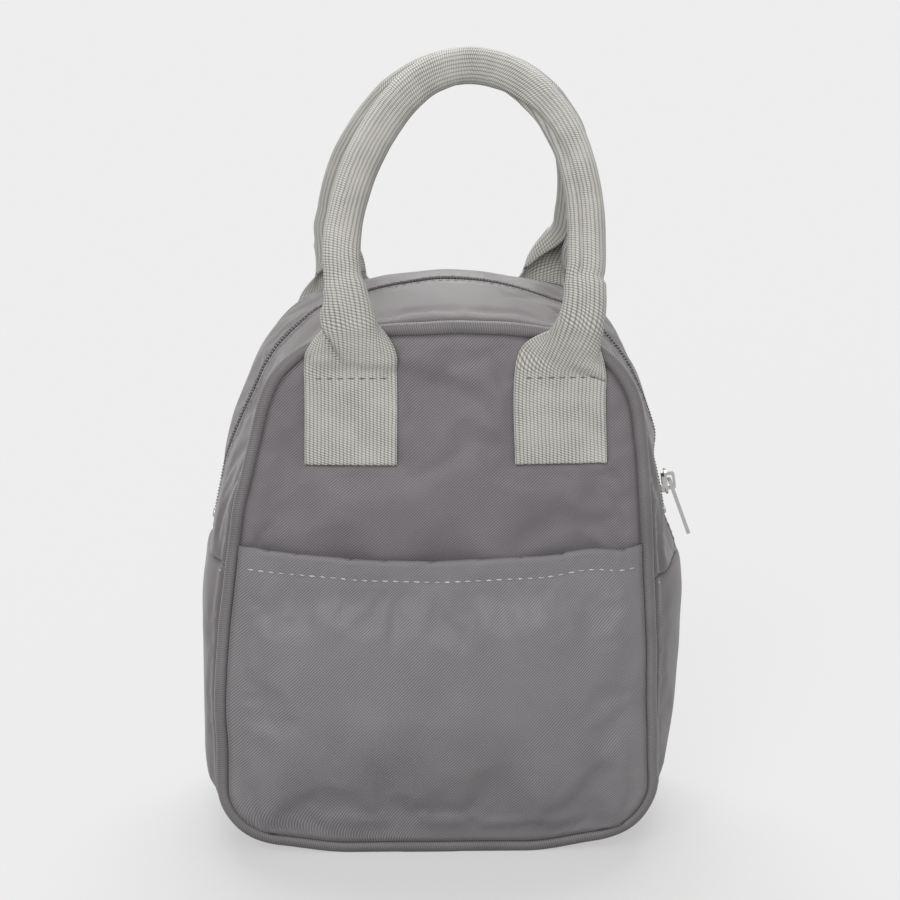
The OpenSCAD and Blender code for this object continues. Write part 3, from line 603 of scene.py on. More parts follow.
# %% Settle
def settle(bm, name, loose, push, hold, furthest=6.0, stiff=2.0):
    """Runs a short cloth simulation on a patch. hold(vert) is 1 where it is sewn down and 0 where it is free."""
    mesh = bpy.data.meshes.new(name + "_at_rest")
    bm.normal_update()
    bm.verts.ensure_lookup_table()
    bm.to_mesh(mesh)
    trial = bpy.data.objects.new(mesh.name, mesh)
    scene.collection.objects.link(trial)
    sewn = trial.vertex_groups.new(name="sewn")
    for vert in bm.verts:
        sewn.add([vert.index], hold(vert), "REPLACE")
    cloth = trial.modifiers.new("cloth", "CLOTH")
    cloth.settings.quality = 6
    cloth.settings.mass = 0.15
    cloth.settings.tension_stiffness = 25
    cloth.settings.compression_stiffness = 25
    cloth.settings.shear_stiffness = 8
    cloth.settings.bending_stiffness = stiff
    cloth.settings.shrink_min = -loose
    cloth.settings.vertex_group_mass = "sewn"
    cloth.settings.use_pressure = True
    cloth.settings.uniform_pressure_force = push
    cloth.settings.effector_weights.gravity = 0
    cloth.point_cache.frame_start = 1
    cloth.point_cache.frame_end = 24
    for step in range(1, 21):
        scene.frame_set(step)
    settled = trial.evaluated_get(bpy.context.evaluated_depsgraph_get()).data
    moved = 0.0
    for vert in bm.verts:
        shift = settled.vertices[vert.index].co - vert.co
        if shift.length > furthest * MM:
            shift *= furthest * MM / shift.length
        moved = max(moved, shift.length)
        vert.co += shift
        vert.co.z = max(vert.co.z, 0.05 * MM)
    bpy.data.objects.remove(trial)
    bpy.data.meshes.remove(mesh)
    scene.frame_set(1)
    print(name, "settled by up to", round(moved / MM, 1), "mm")


# %% [markdown]
# ## Round panels
# Front and back are round-shouldered panels. Columns and rows straight across would end in slivers at
# the crown, so a square grid is stretched instead: its rings become rings of the panel, which suits the
# cloth, because it dips into the piping all round. Inside the rings the panel is slightly crowned.


# %% Panel outline
RIGHT_TOP = (CROWN_END + SHOULDER_END) / 2
RIGHT_LOW = (UPRIGHT_END + CORNER_END) / 2
PANEL_MIDDLE = Vector((0, 116))


def panel_spot(u, v, back=INSET):
    """A point of the flat panel: x and z, and how far it is from the seam."""
    a, b = 2 * u - 1, 2 * v - 1
    ring = max(abs(a), abs(b), 1e-6)
    if abs(b) >= abs(a):
        turn = a / ring
        d = turn * RIGHT_TOP if b > 0 else SEAM_END - turn * (SEAM_END - RIGHT_LOW)
    else:
        turn = b / ring
        d = mix(RIGHT_TOP, RIGHT_LOW, (1 - turn) / 2)
        d = d if a > 0 else -d
    x, z, nx, nz = seam(d)
    rim = Vector((x - nx * back, z - nz * back))
    reach = ring ** 0.85
    spot = PANEL_MIDDLE + (rim - PANEL_MIDDLE) * reach
    return spot.x, spot.y, (rim - spot).length


WEBBING_W = 38.4
SEWN_Z0 = 172.0
HINGE_Z = 212.0
SEWN_X = {-1: (-36.6, 52.1), 1: (-41.0, 53.0)}


def under_handle(side, x, z, fade=2.5):
    """1 where a handle is sewn on, and 0 beside it. x is where the leaning panel really is."""
    beside = min(abs(x - middle) for middle in SEWN_X[side]) - WEBBING_W / 2
    return ease((fade / 2 - beside) / fade) * ease((HINGE_Z + fade / 2 - z) / fade) * ease((z - SEWN_Z0 + fade / 2) / fade)


def behind_pocket(side, z):
    """1 on the part of the front panel that the pocket covers."""
    return ease((122 - z) / 30) if side < 0 else 0.0


def panel_place(side, crown, depth=0.0, gather=0.0):
    """Where a corner of the front (side -1) or back (side 1) panel goes."""
    def place(u, v):
        x, z, edge = panel_spot(u, v)
        out = 60.6 - depth + 1.7 * ease(edge / 3.5) + crown * math.sin(ease(edge / 95) * math.pi / 2)
        out -= 1.0 * under_handle(side, x + lean(z, 60 * side), z)
        out -= 1.4 * behind_pocket(side, z) * ease(edge / 8)
        pucker = math.sin(x * 0.55) * math.sin(z * 0.47 + x * 0.21)
        out += gather * pucker * ease(edge / 3) * ease((14 - edge) / 10)
        return softened(Vector((x, side * out, z)))
    return place


def flat_panel(u, v):
    x, z, _ = panel_spot(u, v)
    return x, z


def rim_hold(side, width=5.0):
    """Sewn down near the seam, and under the handles."""
    def hold(vert):
        x, _, z = vert.co / MM
        upright = x - lean(z, 60 * side)
        edge = min(abs(upright - sx) + abs(z - sz) for sx, sz in rim_points if abs(z - sz) < 30)
        covered = max(0.97 * under_handle(side, x, z, 4), 0.85 * behind_pocket(side, z))
        return max(1 - ease((edge - width) / 8) * 0.94, covered)
    return hold


rim_points = [seam(d * 4.0)[:2] for d in range(int(-SEAM_END / 4), int(SEAM_END / 4) + 1)]
print("panel rings meet the seam at", len(rim_points), "points")

# %% Front and back panel
def make_panel(name, side, crown, rides, replaces):
    bm = patch(72, 84, panel_place(side, crown, gather=0.25), flat_panel)
    if side > 0:
        bmesh.ops.reverse_faces(bm, faces=bm.faces[:])
    settle(bm, name, 0.012, 1.2, rim_hold(side), furthest=3.0)
    thicken(bm, SHELL_T - 0.1)
    piece = finish_piece(name, bm, panel_cloth, rides, replaces)
    return piece


front_panel = make_panel("front_panel", -1, 2.4, "flap fold", (
    "front_panel_lower", "front_panel_lower_foam", "front_panel_upper", "front_panel_upper_foam",
))
back_panel = make_panel("back_panel", 1, 3.0, "bag", ("rear_panel", "rear_panel_foam"))

# %% [markdown]
# ## Pocket
# The pocket is one sheet, sewn into the seam on three sides. Its top edge is turned in by 9 mm and
# stitched. The rows of the grid run up the face, round the fold and down again behind it, so the hem is
# as thick as two layers and its edge is round.

# %% Pocket
POCKET_SIDE_Z = 136.0
POCKET_DIP = 5.0
POCKET_BELLY = 7.4
POCKET_BASE_Z = PIPING_R + INSET + 0.4
HEM_H = 9.0
FACE_ROWS = 0.86


def panel_half_w(z):
    """Half the width of the panel at a height."""
    if z < corner_c.y:
        return corner_c.x + math.sqrt(max(0, (BOTTOM_R - INSET) ** 2 - (corner_c.y - z) ** 2))
    if z < SIDE_START_Z:
        return HALF_W - INSET
    return side_c.x + math.sqrt((SIDE_R - INSET) ** 2 - (z - SIDE_START_Z) ** 2)


def hem_z(a):
    """Height of the pocket's top edge: it dips in the middle, and sags where it gapes at the right."""
    gape = 1.2 * math.exp(-((a - 0.72) / 0.13) ** 2) - 1.0 * math.exp(-((a - 0.9) / 0.08) ** 2)
    return POCKET_SIDE_Z - POCKET_DIP * (1 - a * a) + gape


def pocket_place(u, v):
    a = 2 * u - 1
    up = min(v / FACE_ROWS, 1.0)
    down = max(0.0, (v - FACE_ROWS) / (1 - FACE_ROWS))
    top = hem_z(a)
    z = mix(POCKET_BASE_Z, top, up)
    x = a * panel_half_w(z)
    edge = panel_half_w(z) - abs(x)
    belly = POCKET_BELLY * ease(2.2 * up) * (1 - a**4)
    out = FACE_Y + 0.6 + belly + 1.1 * ease(edge / 3.5) * ease(up * 12)
    seat = 1 - math.exp(-((top - HEM_H - z) / 1.1) ** 2) * 0.9
    out += 0.35 * seat
    out += 0.5 * math.sin(x * 0.16 + 1.3) * math.sin(z * 0.07) * ease(edge / 12)
    if down > 0:
        turn = min(down / 0.2, 1.0)
        out -= 0.9 - 0.9 * math.cos(turn * math.pi)
        z += 0.5 * math.sin(turn * math.pi) - HEM_H * max(0.0, (down - 0.2) / 0.8)
    return softened(Vector((x, -out, z)))


def flat_pocket(u, v):
    return (2 * u - 1) * panel_half_w(60), mix(0, POCKET_SIDE_Z + HEM_H, v)


def pocket_hold(vert):
    x, _, z = vert.co / MM
    x -= lean(z)
    edge = min(panel_half_w(max(z, POCKET_BASE_Z)) - abs(x), z - POCKET_BASE_Z)
    hem = ease((z - 112) / 6)
    return max(1 - ease((edge - 2) / 7) * 0.96, 0.55 * hem)


bm = patch(84, 70, pocket_place, flat_pocket)
settle(bm, "pocket", 0.02, 0.8, pocket_hold, furthest=3.0, stiff=1.0)
thicken(bm, CLOTH_T)
pocket = finish_piece("pocket", bm, pocket_cloth, "bag", ("front_pocket", "pocket_hem"))

# %% [markdown]
# ## Gusset
# The gusset is a long strip. Its middle swells out, and along both seams it stands up again in a low
# ridge, because the seam allowance is folded under it there. Three pieces share one profile: the lower
# gusset round the base and the sides, and the front and rear zip strips over the top.


# %% Gusset profile
def rim_ridge(y):
    """The ridge beside the piping, and the dip between them."""
    edge = GUSSET_Y - abs(y)
    return 1.7 * math.sin(math.pi * min(edge / 8.5, 1.0)) ** 0.8 - 0.9 * (1 - ease(edge / 1.6))


def join_dip(d):
    """The furrow where the zip strips meet the lower gusset."""
    return -1.1 * sum(math.exp(-((d - end) / 1.5) ** 2) for end in (STRIP_LEFT, STRIP_RIGHT, ROUND_LEFT))


def zip_edge(y):
    """The cloth beside the zip is turned under, so it is thicker up to its stitches."""
    near = abs(y)
    return 0.45 * ease((6.4 - near) / 1.2) * ease(near / 3) - 0.35 * math.exp(-((near - 7.0) / 0.6) ** 2)


def gusset_place(start, end, y0, y1, beside_zip=False, depth=0.0):
    def place(u, v):
        d, y = mix(start, end, u), mix(y0, y1, v)
        proud = rim_ridge(y) + join_dip(d) if depth == 0 else 0.0
        if beside_zip:
            proud += zip_edge(y)
        return softened(gusset_point(d, y, depth, proud))
    return place


def gusset_flat(start, end, y0, y1):
    return lambda u, v: (mix(start, end, u), mix(y0, y1, v))


def gusset_hold(start, end, y0, y1):
    """Sewn down along its edges, and near the floor."""
    def hold(vert):
        y = vert.co.y / MM
        edge = min(abs(y - y0), abs(y - y1))
        floor_near = ease((6 - vert.co.z / MM) / 4)
        return max(1 - ease((edge - 2) / 7) * 0.96, floor_near * 0.9)
    return hold


def make_gusset(name, start, end, y0, y1, columns, rows, rides, replaces, beside_zip=False):
    bm = patch(columns, rows, gusset_place(start, end, y0, y1, beside_zip), gusset_flat(start, end, y0, y1))
    settle(bm, name, 0.012, 0.8, gusset_hold(start, end, y0, y1), furthest=2.0)
    thicken(bm, SHELL_T - 0.1)
    piece = finish_piece(name, bm, gusset_cloth, rides, replaces)
    return piece


# %% Gusset pieces
lower_gusset = make_gusset(
    "lower_gusset_cloth", STRIP_RIGHT, ROUND_LEFT, -GUSSET_Y, GUSSET_Y, 200, 44, "bag",
    ("lower_gusset", "lower_gusset_foam"),
)
rear_strip = make_gusset(
    "rear_strip_cloth", STRIP_LEFT, STRIP_RIGHT, 3.2, GUSSET_Y, 170, 26, "bag",
    ("rear_zip_strip", "rear_zip_strip_foam"), beside_zip=True,
)
front_strip = make_gusset(
    "front_strip_cloth", STRIP_LEFT, STRIP_RIGHT, -GUSSET_Y, -3.2, 170, 26, "flap fold",
    ("front_zip_strip", "front_zip_strip_foam", "front_strip_ends", "front_strip_ends_foam"), beside_zip=True,
)

# %% [markdown]
# ## Lining and binding
# Inside, a wipe-clean film lies over the foam, and a woven tape covers the raw edges where the panels
# meet the gusset. They show when the flap is open. The film is a thin sheet that follows the inner wall.


# %% Lining
def film(name, bm, rides, replaces):
    thicken(bm, LINING_T)
    piece = finish_piece(name, bm, lining_film, rides, replaces)
    return piece


def make_panel_film(name, side, rides, replaces):
    def place(u, v):
        x, z, edge = panel_spot(u, v, back=WALL_T)
        return softened(Vector((x, side * (FACE_Y - SHELL_T - 0.02), z)))
    bm = patch(40, 46, place, flat_panel)
    if side > 0:
        bmesh.ops.reverse_faces(bm, faces=bm.faces[:])
    return film(name, bm, rides, replaces)


def make_gusset_film(name, start, end, y0, y1, columns, rides, replaces):
    place = gusset_place(start, end, y0, y1, depth=SHELL_T + 0.02)
    bm = patch(columns, 16, place, gusset_flat(start, end, y0, y1))
    return film(name, bm, rides, replaces)


make_panel_film("back_lining", 1, "bag", ("rear_panel_lining",))
make_panel_film("front_lining", -1, "flap fold", ("front_panel_lower_lining", "front_panel_upper_lining"))
make_gusset_film(
    "gusset_lining", STRIP_RIGHT, ROUND_LEFT, -GUSSET_Y, GUSSET_Y, 120, "bag",
    ("lower_gusset_lining",),
)
make_gusset_film(
    "rear_strip_lining", STRIP_LEFT, STRIP_RIGHT, 11.0, GUSSET_Y, 110, "bag", ("rear_zip_strip_lining",),
)
make_gusset_film(
    "front_strip_lining", STRIP_LEFT, STRIP_RIGHT, -GUSSET_Y, -11.0, 110, "flap fold",
    ("front_zip_strip_lining", "front_strip_ends_lining"),
)


# %% Binding
BINDING_W = 8.0
BINDING_T = 1.6


def round_section(half_w, half_t, v, power=0.6):
    """A point of a flat, round-edged section."""
    c, s = math.cos(v * 2 * math.pi), math.sin(v * 2 * math.pi)
    return half_w * math.copysign(abs(c) ** power, c), half_t * math.copysign(abs(s) ** power, s)


def make_binding(name, side, rides, replaces):
    middle = WALL_T + 0.2 + BINDING_W / 2

    def place(u, v):
        x, z, nx, nz = seam(mix(-SEAM_END, SEAM_END, u))
        across, out = round_section(BINDING_W / 2, BINDING_T / 2, v)
        y = side * (FACE_Y - WALL_T - BINDING_T / 2 - 0.1 + out)
        return softened(Vector((x - nx * (middle + across), y, z - nz * (middle + across))))

    bm = patch(220, 12, place, lambda u, v: (2 * BINDING_W * v, 2 * SEAM_END * u))
    weld(bm)
    bmesh.ops.recalc_face_normals(bm, faces=bm.faces[:])
    finish_piece(name, bm, binding_cloth, rides, replaces)


make_binding("back_binding", 1, "bag", ("rear_seam_binding",))
make_binding("front_binding", -1, "flap fold", ("front_seam_binding_lower", "front_seam_binding_upper"))

# %% [markdown]
# ## Piping
# Piping is a strip of cloth folded round a cord and caught in the seam. It is a tube along the outline,
# a little uneven in thickness. Where its two ends lap, under the middle of the base, it is thicker.


# %% Piping
def make_piping(name, side, rides, replaces):
    lap_from, lap_to = SEAM_END - 9.0, SEAM_END + 16.0

    def place(u, v):
        d = u * 2 * SEAM_END
        x, z, nx, nz = seam(d)
        angle = v * 2 * math.pi
        uneven = 0.12 * noise.noise(Vector((d * 0.03, side * 7.0, 0.5)))
        lap = 0.22 * ease((d - lap_from) / 1.5) * ease((lap_to - d) / 1.5)
        radius = PIPING_R * (1 + uneven * 0.4) + lap * 0.6
        out = radius * math.cos(angle)
        p = Vector((x + nx * out, side * (SEAM_Y + radius * math.sin(angle)), max(z + nz * out, 0.05)))
        return softened(p)

    bm = patch(440, 14, place, lambda u, v: (u * 2 * SEAM_END * 0.7 + v * 12, v * 17.3 - u * 2 * SEAM_END * 0.7))
    weld(bm)
    bmesh.ops.recalc_face_normals(bm, faces=bm.faces[:])
    return finish_piece(name, bm, piping_cloth, rides, replaces)


make_piping("back_piping", 1, "bag", ("rear_piping_cover", "rear_piping_cord"))
make_piping("front_piping", -1, "flap fold", (
    "front_piping_cover_lower", "front_piping_cord_lower", "front_piping_cover_upper", "front_piping_cord_upper",
))

# %% [markdown]
# ## Zip
# Each half of the zip is a narrow woven tape with a plastic coil sewn to its edge. A coil is one bent
# thread, but what the eye sees is a row of small rounded teeth, each reaching between two of the other
# row. They repeat hundreds of times, so each is a plain low ball, stretched across the zip.


# %% Zip tapes
def make_tape(name, y0, y1, rides, replaces):
    """The tape lies under the folded edge of the cloth."""
    place = gusset_place(STRIP_LEFT, STRIP_RIGHT, y0, y1, depth=CLOTH_T + 0.1)
    bm = patch(220, 5, place, lambda u, v: (mix(y0, y1, v), mix(STRIP_LEFT, STRIP_RIGHT, u)))
    thicken(bm, 0.5)
    finish_piece(name, bm, zip_tape, rides, replaces)


make_tape("rear_tape", 0.9, 11.0, "bag", ("rear_zip_tape",))
make_tape("front_tape", -11.0, -0.9, "flap fold", ("front_zip_tape", "front_zip_tape_ends"))


# %% Frames along the zip
def zip_frame(d, y, proud):
    """Where a small thing sits on the zip strip: its axes run across, along and out of the strip."""
    here = softened(gusset_point(d, y, 0, proud))
    ahead = softened(gusset_point(d + 0.5, y, 0, proud))
    along = (ahead - here).normalized()
    aside = (softened(gusset_point(d, y + 0.5, 0, proud)) - here).normalized()
    out = along.cross(aside).normalized()
    if out.dot(Vector(seam(d)[2:3] + (0,) + seam(d)[3:4])) < 0:
        out = -out
    return here, aside, along, out


def turned(here, first, second, third, sizes):
    """A matrix, in metres, that turns and stretches a unit ball, placed at here."""
    matrix = Matrix.Identity(4)
    for column, (axis, size) in enumerate(zip((first, second, third), sizes)):
        matrix.col[column][:3] = axis * size * MM
    matrix.col[3][:3] = here * MM
    return matrix


# %% Teeth
TOOTH_PITCH = 1.35
STOP_D = side_distance(ZIP_STOP_Z) - 2


def make_teeth(name, side, rides, replaces):
    bm = bmesh.new()
    count = int(2 * STOP_D / TOOTH_PITCH)
    for i in range(count):
        d = -STOP_D + (i + (0.25 if side > 0 else 0.75)) * TOOTH_PITCH
        here, aside, along, out = zip_frame(d, side * 1.25, -CLOTH_T + 0.95)
        matrix = turned(here, aside, along, out, (1.75, 0.42, 0.9))
        bmesh.ops.create_uvsphere(bm, u_segments=6, v_segments=4, radius=1, matrix=matrix)
    bmesh.ops.recalc_face_normals(bm, faces=bm.faces[:])
    finish_piece(name, bm, coil_plastic, rides, replaces)


make_teeth("rear_teeth", 1, "bag", ("rear_zip_coil",))
make_teeth("front_teeth", -1, "flap fold", ("front_zip_coil", "front_zip_coil_ends"))

# %% Slider
for part in ("slider_body", "slider_bridge", "pull_tab"):
    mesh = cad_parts[part].data
    mesh.materials.clear()
    mesh.materials.append(nickel)
print("metal on", len(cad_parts["slider_body"].data.polygons), "faces of the slider")


# %% Stops
def make_stops():
    """A clamp at each end of the zip: a small block with round edges, pressed over both rows of teeth."""
    bm = bmesh.new()
    for d in (-side_distance(ZIP_STOP_Z), side_distance(ZIP_STOP_Z)):
        here, aside, along, out = zip_frame(d, 0, -CLOTH_T + 0.9)
        bmesh.ops.create_cube(bm, size=2, matrix=turned(here, aside, along, out, (3.1, 1.3, 1.3)))
    bmesh.ops.bevel(bm, geom=bm.edges[:], offset=0.5 * MM, segments=3, affect="EDGES", profile=0.6)
    bmesh.ops.recalc_face_normals(bm, faces=bm.faces[:])
    finish_piece("zip_stops", bm, nickel, "bag", ("zip_end_stops",))


make_stops()

# %% [markdown]
# ## Stitches
# Thread shows wherever two layers are sewn together. Each stitch is a short capsule, half sunk into the
# cloth, and a row of them is one piece. A picture of stitches would cost less, but real ones catch the
# light and cast tiny shadows.


# %% Stitch rows
def make_stitches(name, rows, material, rides, length=3.4, gap=1.1, girth=0.34, tilt=0.0):
    """rows are lists of (point, outward direction), close together, in mm."""
    bm = bmesh.new()
    for row in rows:
        since = 0.0
        for (a, out_a), (b, _) in zip(row, row[1:]):
            since += (b - a).length
            if since < length + gap:
                continue
            since = 0.0
            along = (b - a).normalized()
            aside = along.cross(out_a).normalized()
            along = (along + aside * tilt).normalized()
            aside = along.cross(out_a).normalized()
            out = aside.cross(along).normalized()
            matrix = turned(a, aside, along, out, (girth, length / 2, girth * 0.8))
            bmesh.ops.create_icosphere(bm, subdivisions=1, radius=1, matrix=matrix)
    return finish_piece(name, bm, material, rides)


def along_strip(y, start, end, proud=0.0, step=0.25):
    """A row of points along the zip strip."""
    points = []
    for i in range(int((end - start) / step) + 1):
        d = start + i * step
        p = softened(gusset_point(d, y, 0, proud + rim_ridge(y) + zip_edge(y)))
        _, _, nx, nz = seam(d)
        points.append((p, Vector((nx, 0, nz))))
    return points


def across_gusset(d, proud=0.05, step=0.25):
    """A row of points across the lower gusset."""
    _, _, nx, nz = seam(d)
    count = int(2 * GUSSET_Y / step)
    spots = [mix(-GUSSET_Y + 1.5, GUSSET_Y - 1.5, i / count) for i in range(count + 1)]
    return [(softened(gusset_point(d, y, 0, proud + rim_ridge(y))), Vector((nx, 0, nz))) for y in spots]


ZIP_ROW_Y = 5.3
for name, y, rides in (("rear_zip_stitches", ZIP_ROW_Y, "bag"), ("front_zip_stitches", -ZIP_ROW_Y, "flap fold")):
    make_stitches(name, [along_strip(y, STRIP_LEFT + 1, STRIP_RIGHT - 1)], zip_thread, rides, 2.3, 0.8, 0.3)
join_rows = [across_gusset(STRIP_RIGHT + 2.6), across_gusset(ROUND_LEFT - 2.6)]
make_stitches("side_join_stitches", join_rows, pale_thread, "bag", 2.6, 1.4, 0.32)

# %% Hem stitches
hem_row = []
HEM_V = FACE_ROWS * (1 - (HEM_H - 0.6) / (POCKET_SIDE_Z - POCKET_BASE_Z))
for i in range(700):
    u = mix(0.012, 0.988, i / 699)
    top = hem_z(2 * u - 1)
    v = FACE_ROWS * (top - HEM_H + 0.2 - POCKET_BASE_Z) / (top - POCKET_BASE_Z)
    hem_row.append((pocket_place(u, v) + Vector((0, -0.25, 0)), Vector((0, -1, 0))))
make_stitches("hem_stitches", [hem_row], pale_thread, "bag", 3.3, 1.0, 0.42, tilt=0.06)

# %% [markdown]
# ## Handles
# A handle is one length of webbing. Both ends are sewn flat to a panel. Above them the webbing narrows
# as its edges fold back, closes into a tube round a cord, and runs through an arch to the other end. Its
# middle line and its fold are the model's own. The grid runs along the webbing, so the weave follows it
# through every turn.

# %% Handle path
WEBBING_T = 1.6
ARCH_Z = 262.0
ARCH_TOP_Z = 334.0
TUBE_W = 16.0
TUBE_DEPTH = 11.0
ARCH_TOP_Y = 2.4
START_Y = FACE_Y + 0.3 + WEBBING_T / 2
OVER_PIPING_Y = SEAM_Y + PIPING_R + 0.3 + WEBBING_T / 2 + 1.3
LEAN_Z = SEAM_TOP + 2


def spine_y(z):
    """How far the webbing's middle is from the middle plane, at a height."""
    out = START_Y + (OVER_PIPING_Y - START_Y) * ease((z - HINGE_Z) / 14)
    return out - (OVER_PIPING_Y - ARCH_TOP_Y) * (max(0, z - LEAN_Z) / (ARCH_TOP_Z - LEAN_Z)) ** 1.25


def handle_spine(side, middles, reaches, top_z, bulges):
    """Points from the left sewn end over the arch to the right one. middles and reaches are (z, value) stops."""
    legs = [mix(SEWN_Z0, ARCH_Z, i / 120) for i in range(120)]
    arch_w = reaches[-1][1]
    rough = [(-smooth_through(reaches, z), z) for z in legs]
    for i in range(361):
        angle = math.pi * (1 - i / 360)
        rough.append((arch_w * math.cos(angle), ARCH_Z + (top_z - ARCH_Z) * math.sin(angle)))
    rough += [(smooth_through(reaches, z), z) for z in reversed(legs)]
    points, last = [], None
    for x, z in rough:
        hump = bulges[0 if x < 0 else 1] * math.sin(math.pi * min(max((z - HINGE_Z) / 38, 0), 1))
        p = Vector((smooth_through(middles, z) + x + hump, side * spine_y(z), z))
        if last is None or (p - last).length >= 1.2 or (z <= SEWN_Z0 + 0.01 and x > 0):
            points.append(p)
            last = p
    return points


front_spine = handle_spine(
    -1, ((SEWN_Z0, 7.75), (HINGE_Z, 7.75), (249, 11), (266, 11.4), (285, 13), (312, 15.35), (334, 15.35)),
    ((SEWN_Z0, 44.35), (HINGE_Z, 44.35), (249, 50.35), (ARCH_Z, 51.4)), ARCH_TOP_Z, (1.2, 3.0),
)
rear_spine = handle_spine(
    1, ((SEWN_Z0, 6), (HINGE_Z, 6), (235, 6.2), (252, 8.6), (263, 10.3), (283, 12.6), (301, 14.6), (332, 15.2)),
    ((SEWN_Z0, 47), (HINGE_Z, 47), (235, 47.2), (252, 53.2), (ARCH_Z, 53.2)), 332.0, (0.0, 0.0),
)
print("front handle:", len(front_spine), "stations, top at", round(max(p.z for p in front_spine)), "mm")

# %% Webbing section
FOLD_R = (TUBE_DEPTH - WEBBING_T) / 2
FOLD_FLAT = TUBE_W / 2 - WEBBING_T / 2 - FOLD_R
HALF_FOLD = 2 * FOLD_FLAT + math.pi * FOLD_R - 0.3


def folded_spot(s):
    """Where a point of the closed tube's section is, s mm from its front middle: aside, and back."""
    if s < FOLD_FLAT:
        return s, 0.0
    if s < FOLD_FLAT + math.pi * FOLD_R:
        angle = (s - FOLD_FLAT) / FOLD_R
        return FOLD_FLAT + FOLD_R * math.sin(angle), FOLD_R * (1 - math.cos(angle))
    return FOLD_FLAT - (s - FOLD_FLAT - math.pi * FOLD_R), 2 * FOLD_R


def section_spot(q, fold):
    """A point of the webbing's middle line, q from -1 to 1: aside and out. The edges fold back."""
    aside, back = folded_spot(abs(q) * HALF_FOLD)
    flat = abs(q) * WEBBING_W / 2
    return math.copysign(mix(flat, aside, fold), q), (2 * FOLD_R - back) * fold


print("tube section:", round(2 * section_spot(0.5, 1)[0], 1), "mm wide half way round")


# %% Handle relief
def ridge_line(q, at, width):
    return math.exp(-((q - at) / width) ** 2)


def handle_relief(q, rightward_q, z, angle, leg, creases):
    """How far the webbing stands out of its plain section: hem, crease, collar and closing groove."""
    relief = 0.0
    relief += 0.55 * ease((SEWN_Z0 + 5.2 - z) / 0.8)
    if z < ARCH_Z:
        above = ease((z - HINGE_Z - 1.5) / 3)
        relief += 1.0 * above * ease((247.5 - z) / 1.2)
        relief += 0.8 * above * math.sin(math.pi * min(max((z - HINGE_Z) / 32, 0), 1)) * (1 - q * q)
        crease_at, crease_depth = creases[leg](z)
        step = ease((rightward_q - crease_at + 0.04) / 0.06) * ease((crease_at + 0.75 - rightward_q) / 0.6)
        relief += crease_depth * (0.9 * step - 1.5 * ridge_line(rightward_q, crease_at - 0.03, 0.045))
    groove_at, groove_depth = creases["groove"](z, angle)
    relief -= groove_depth * ridge_line(q, groove_at, 0.07)
    return relief


def front_left_crease(z):
    up = (z - 213) / (239 - 213)
    return mix(-0.10, -0.80, up), 1.7 * ease(up / 0.25) * ease((1.12 - up) / 0.15)


def front_right_crease(z):
    up = (z - 212) / (236 - 212)
    return mix(-0.75, -0.25, up), 0.35 * ease(up / 0.4) * ease((1.1 - up) / 0.3)


def front_groove(z, angle):
    """The closing seam faces forward on the right leg, turns inward over the arch and is hidden on the left."""
    turn = max(0.0, angle) / 100
    depth = 2.2 * ease((z - 248) / 3) * ease((1.15 - turn) / 0.35) if angle > -90 else 0.0
    return mix(0.08, 0.62, ease(turn)), depth


def rear_crease(z):
    up = (z - 212) / (250 - 212)
    return mix(0.15, 0.55, up), 0.9 * ease(up / 0.3) * ease((1.05 - up) / 0.2)


def rear_groove(z, angle):
    return 0.1, 1.0 * ease((z - 250) / 4)


front_creases = {-1: front_left_crease, 1: front_right_crease, "groove": front_groove}
rear_creases = {-1: rear_crease, 1: rear_crease, "groove": rear_groove}


# %% Handle body
HANDLE_COLUMNS = 44


def skin_of(piece):
    """The corners and faces of a piece."""
    mesh = piece.data
    return [v.co.copy() for v in mesh.vertices], [tuple(p.vertices) for p in mesh.polygons]


panel_skins = {-1: BVHTree.FromPolygons(*skin_of(front_panel)), 1: BVHTree.FromPolygons(*skin_of(back_panel))}


def skin_out(side, x, z):
    """How far the panel's own surface is from the middle plane, in mm."""
    hit = panel_skins[side].ray_cast(Vector((x * MM, side * 0.1, z * MM)), Vector((0, -side, 0)))[0]
    return abs(hit.y) / MM if hit else FACE_Y


def handle_frames(spine, side):
    """At each station: its point, the directions aside and out, and the length so far."""
    frames, run = [], 0.0
    for i, p in enumerate(spine):
        before, after = spine[max(i - 1, 0)], spine[min(i + 1, len(spine) - 1)]
        t = (after - before).normalized()
        out = (Vector((0, side, 0)) - t * (side * t.y)).normalized()
        run += (p - before).length
        frames.append((p, t.cross(out), out, run))
    return frames


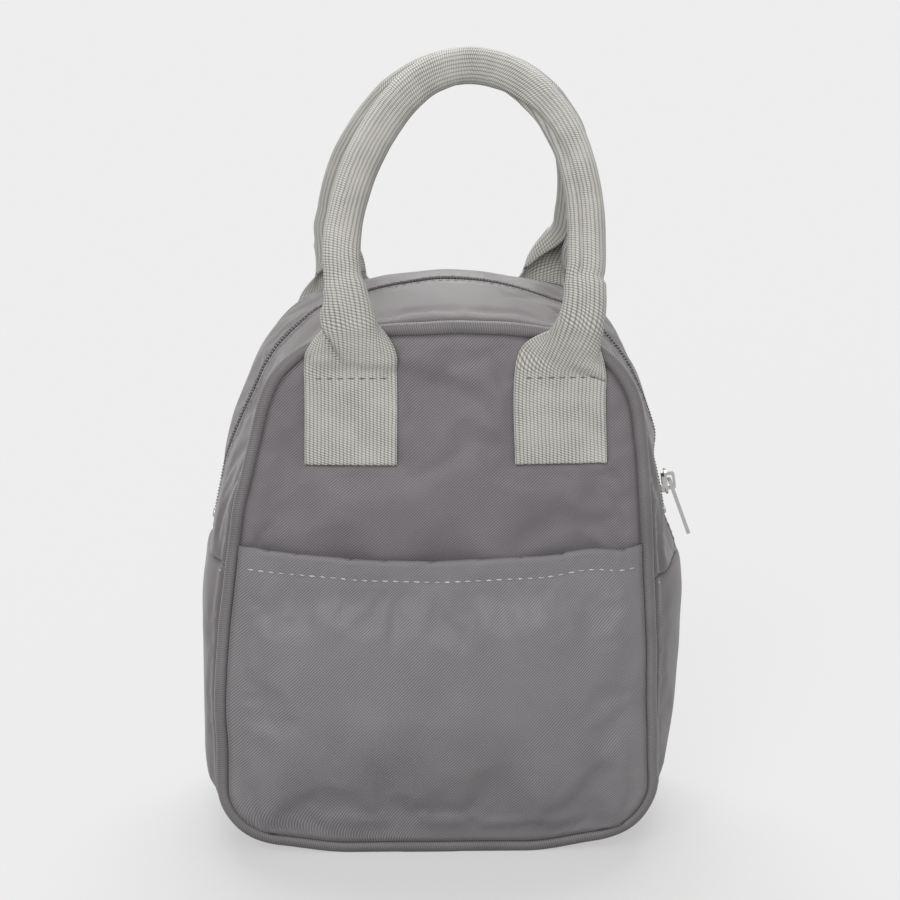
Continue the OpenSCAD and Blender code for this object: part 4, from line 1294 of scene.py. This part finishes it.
def make_handle(name, side, spine, folds, creases, replaces):
    frames = handle_frames(spine, side)
    last = len(frames) - 1

    def place(u, v):
        step = min(int(v * last), last - 1)
        p, aside, out = (a.lerp(b, v * last - step) for a, b in zip(frames[step][:3], frames[step + 1][:3]))
        column = 2 * HANDLE_COLUMNS * min(u, 1 - u)
        q = 2 * min(max((column - 1) / (HANDLE_COLUMNS - 2), 0), 1) - 1
        skin = min(column, HANDLE_COLUMNS - column, 1) * (1 if u < 0.5 else -1)
        leg = -1 if v < 0.5 else 1
        rise = math.degrees(math.asin(min(max((p.z - ARCH_Z) / (ARCH_TOP_Z - ARCH_Z), 0), 1)))
        angle = 180 - rise if leg < 0 else rise
        fold = folds[leg](p.z)
        before, here, after = (section_spot(min(max(s, -1), 1), fold) for s in (q - 0.02, q, q + 0.02))
        along = Vector((after[0] - before[0], after[1] - before[1])).normalized()
        relief = handle_relief(q, q * leg * side, p.z, angle, leg, creases)
        relief *= 1 - fold * ease((abs(q) - 0.55) / 0.2)
        relief += 0.35 * noise.noise(Vector((q * 2, p.z * 0.07, p.x * 0.09 + side * 4))) * ease((p.z - HINGE_Z) / 6)
        proud = relief + skin * WEBBING_T / 2
        edge = math.copysign(0.35 * (1 - abs(skin)), q)
        spot = Vector(here) + Vector((-along.y, along.x)) * proud + along * edge
        point = p + aside * spot.x + out * spot.y
        flat_on = 1 - ease((point.z - HINGE_Z - 1) / 11)
        if flat_on > 0:
            lift = skin_out(side, point.x, point.z) + 0.1 - (START_Y - WEBBING_T / 2)
            point.y += side * lift * flat_on
        return point

    def flat(u, v):
        return WEBBING_W * min(u, 1 - u) * 2, frames[-1][3] * v

    bm = patch(2 * HANDLE_COLUMNS, last, place, flat)
    weld(bm)
    bmesh.ops.holes_fill(bm, edges=[edge for edge in bm.edges if edge.is_boundary])
    piece = finish_piece(name, bm, webbing, None, replaces)
    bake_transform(piece)
    return piece


front_folds = {-1: lambda z: ease((z - 217) / 32), 1: lambda z: ease((z - 213) / 27)}
rear_folds = {leg: lambda z: ease((z - 216) / 34) for leg in (-1, 1)}
front_handle = make_handle(
    "front_handle_strap", -1, front_spine, front_folds, front_creases,
    ("front_handle_ends", "front_handle_webbing", "front_handle_cord"),
)
rear_handle = make_handle(
    "rear_handle_strap", 1, rear_spine, rear_folds, rear_creases,
    ("rear_handle_ends", "rear_handle_webbing", "rear_handle_cord"),
)


# %% Stitches of the sewn ends
def sewn_end_rows(side):
    """A row of stitches across the top and the bottom of each sewn end."""
    rows = []
    out = Vector((0, side, 0))
    low, high, reach = SEWN_Z0 + 4.0, HINGE_Z - 3.4, WEBBING_W / 2 - 1.6
    for middle in SEWN_X[side]:
        left, right = middle - reach, middle + reach
        count = int((right - left) / 0.25)
        for z in (low, high):
            spots = [mix(left, right, i / count) for i in range(count + 1)]
            rows.append([(Vector((x, side * (skin_out(side, x, z) + WEBBING_T + 0.15), z)), out) for x in spots])
    return rows


make_stitches("front_handle_stitches", sewn_end_rows(-1), dark_thread, "front_flap", 3.2, 1.3, 0.34)
make_stitches("rear_handle_stitches", sewn_end_rows(1), dark_thread, "bag", 3.2, 1.3, 0.34)
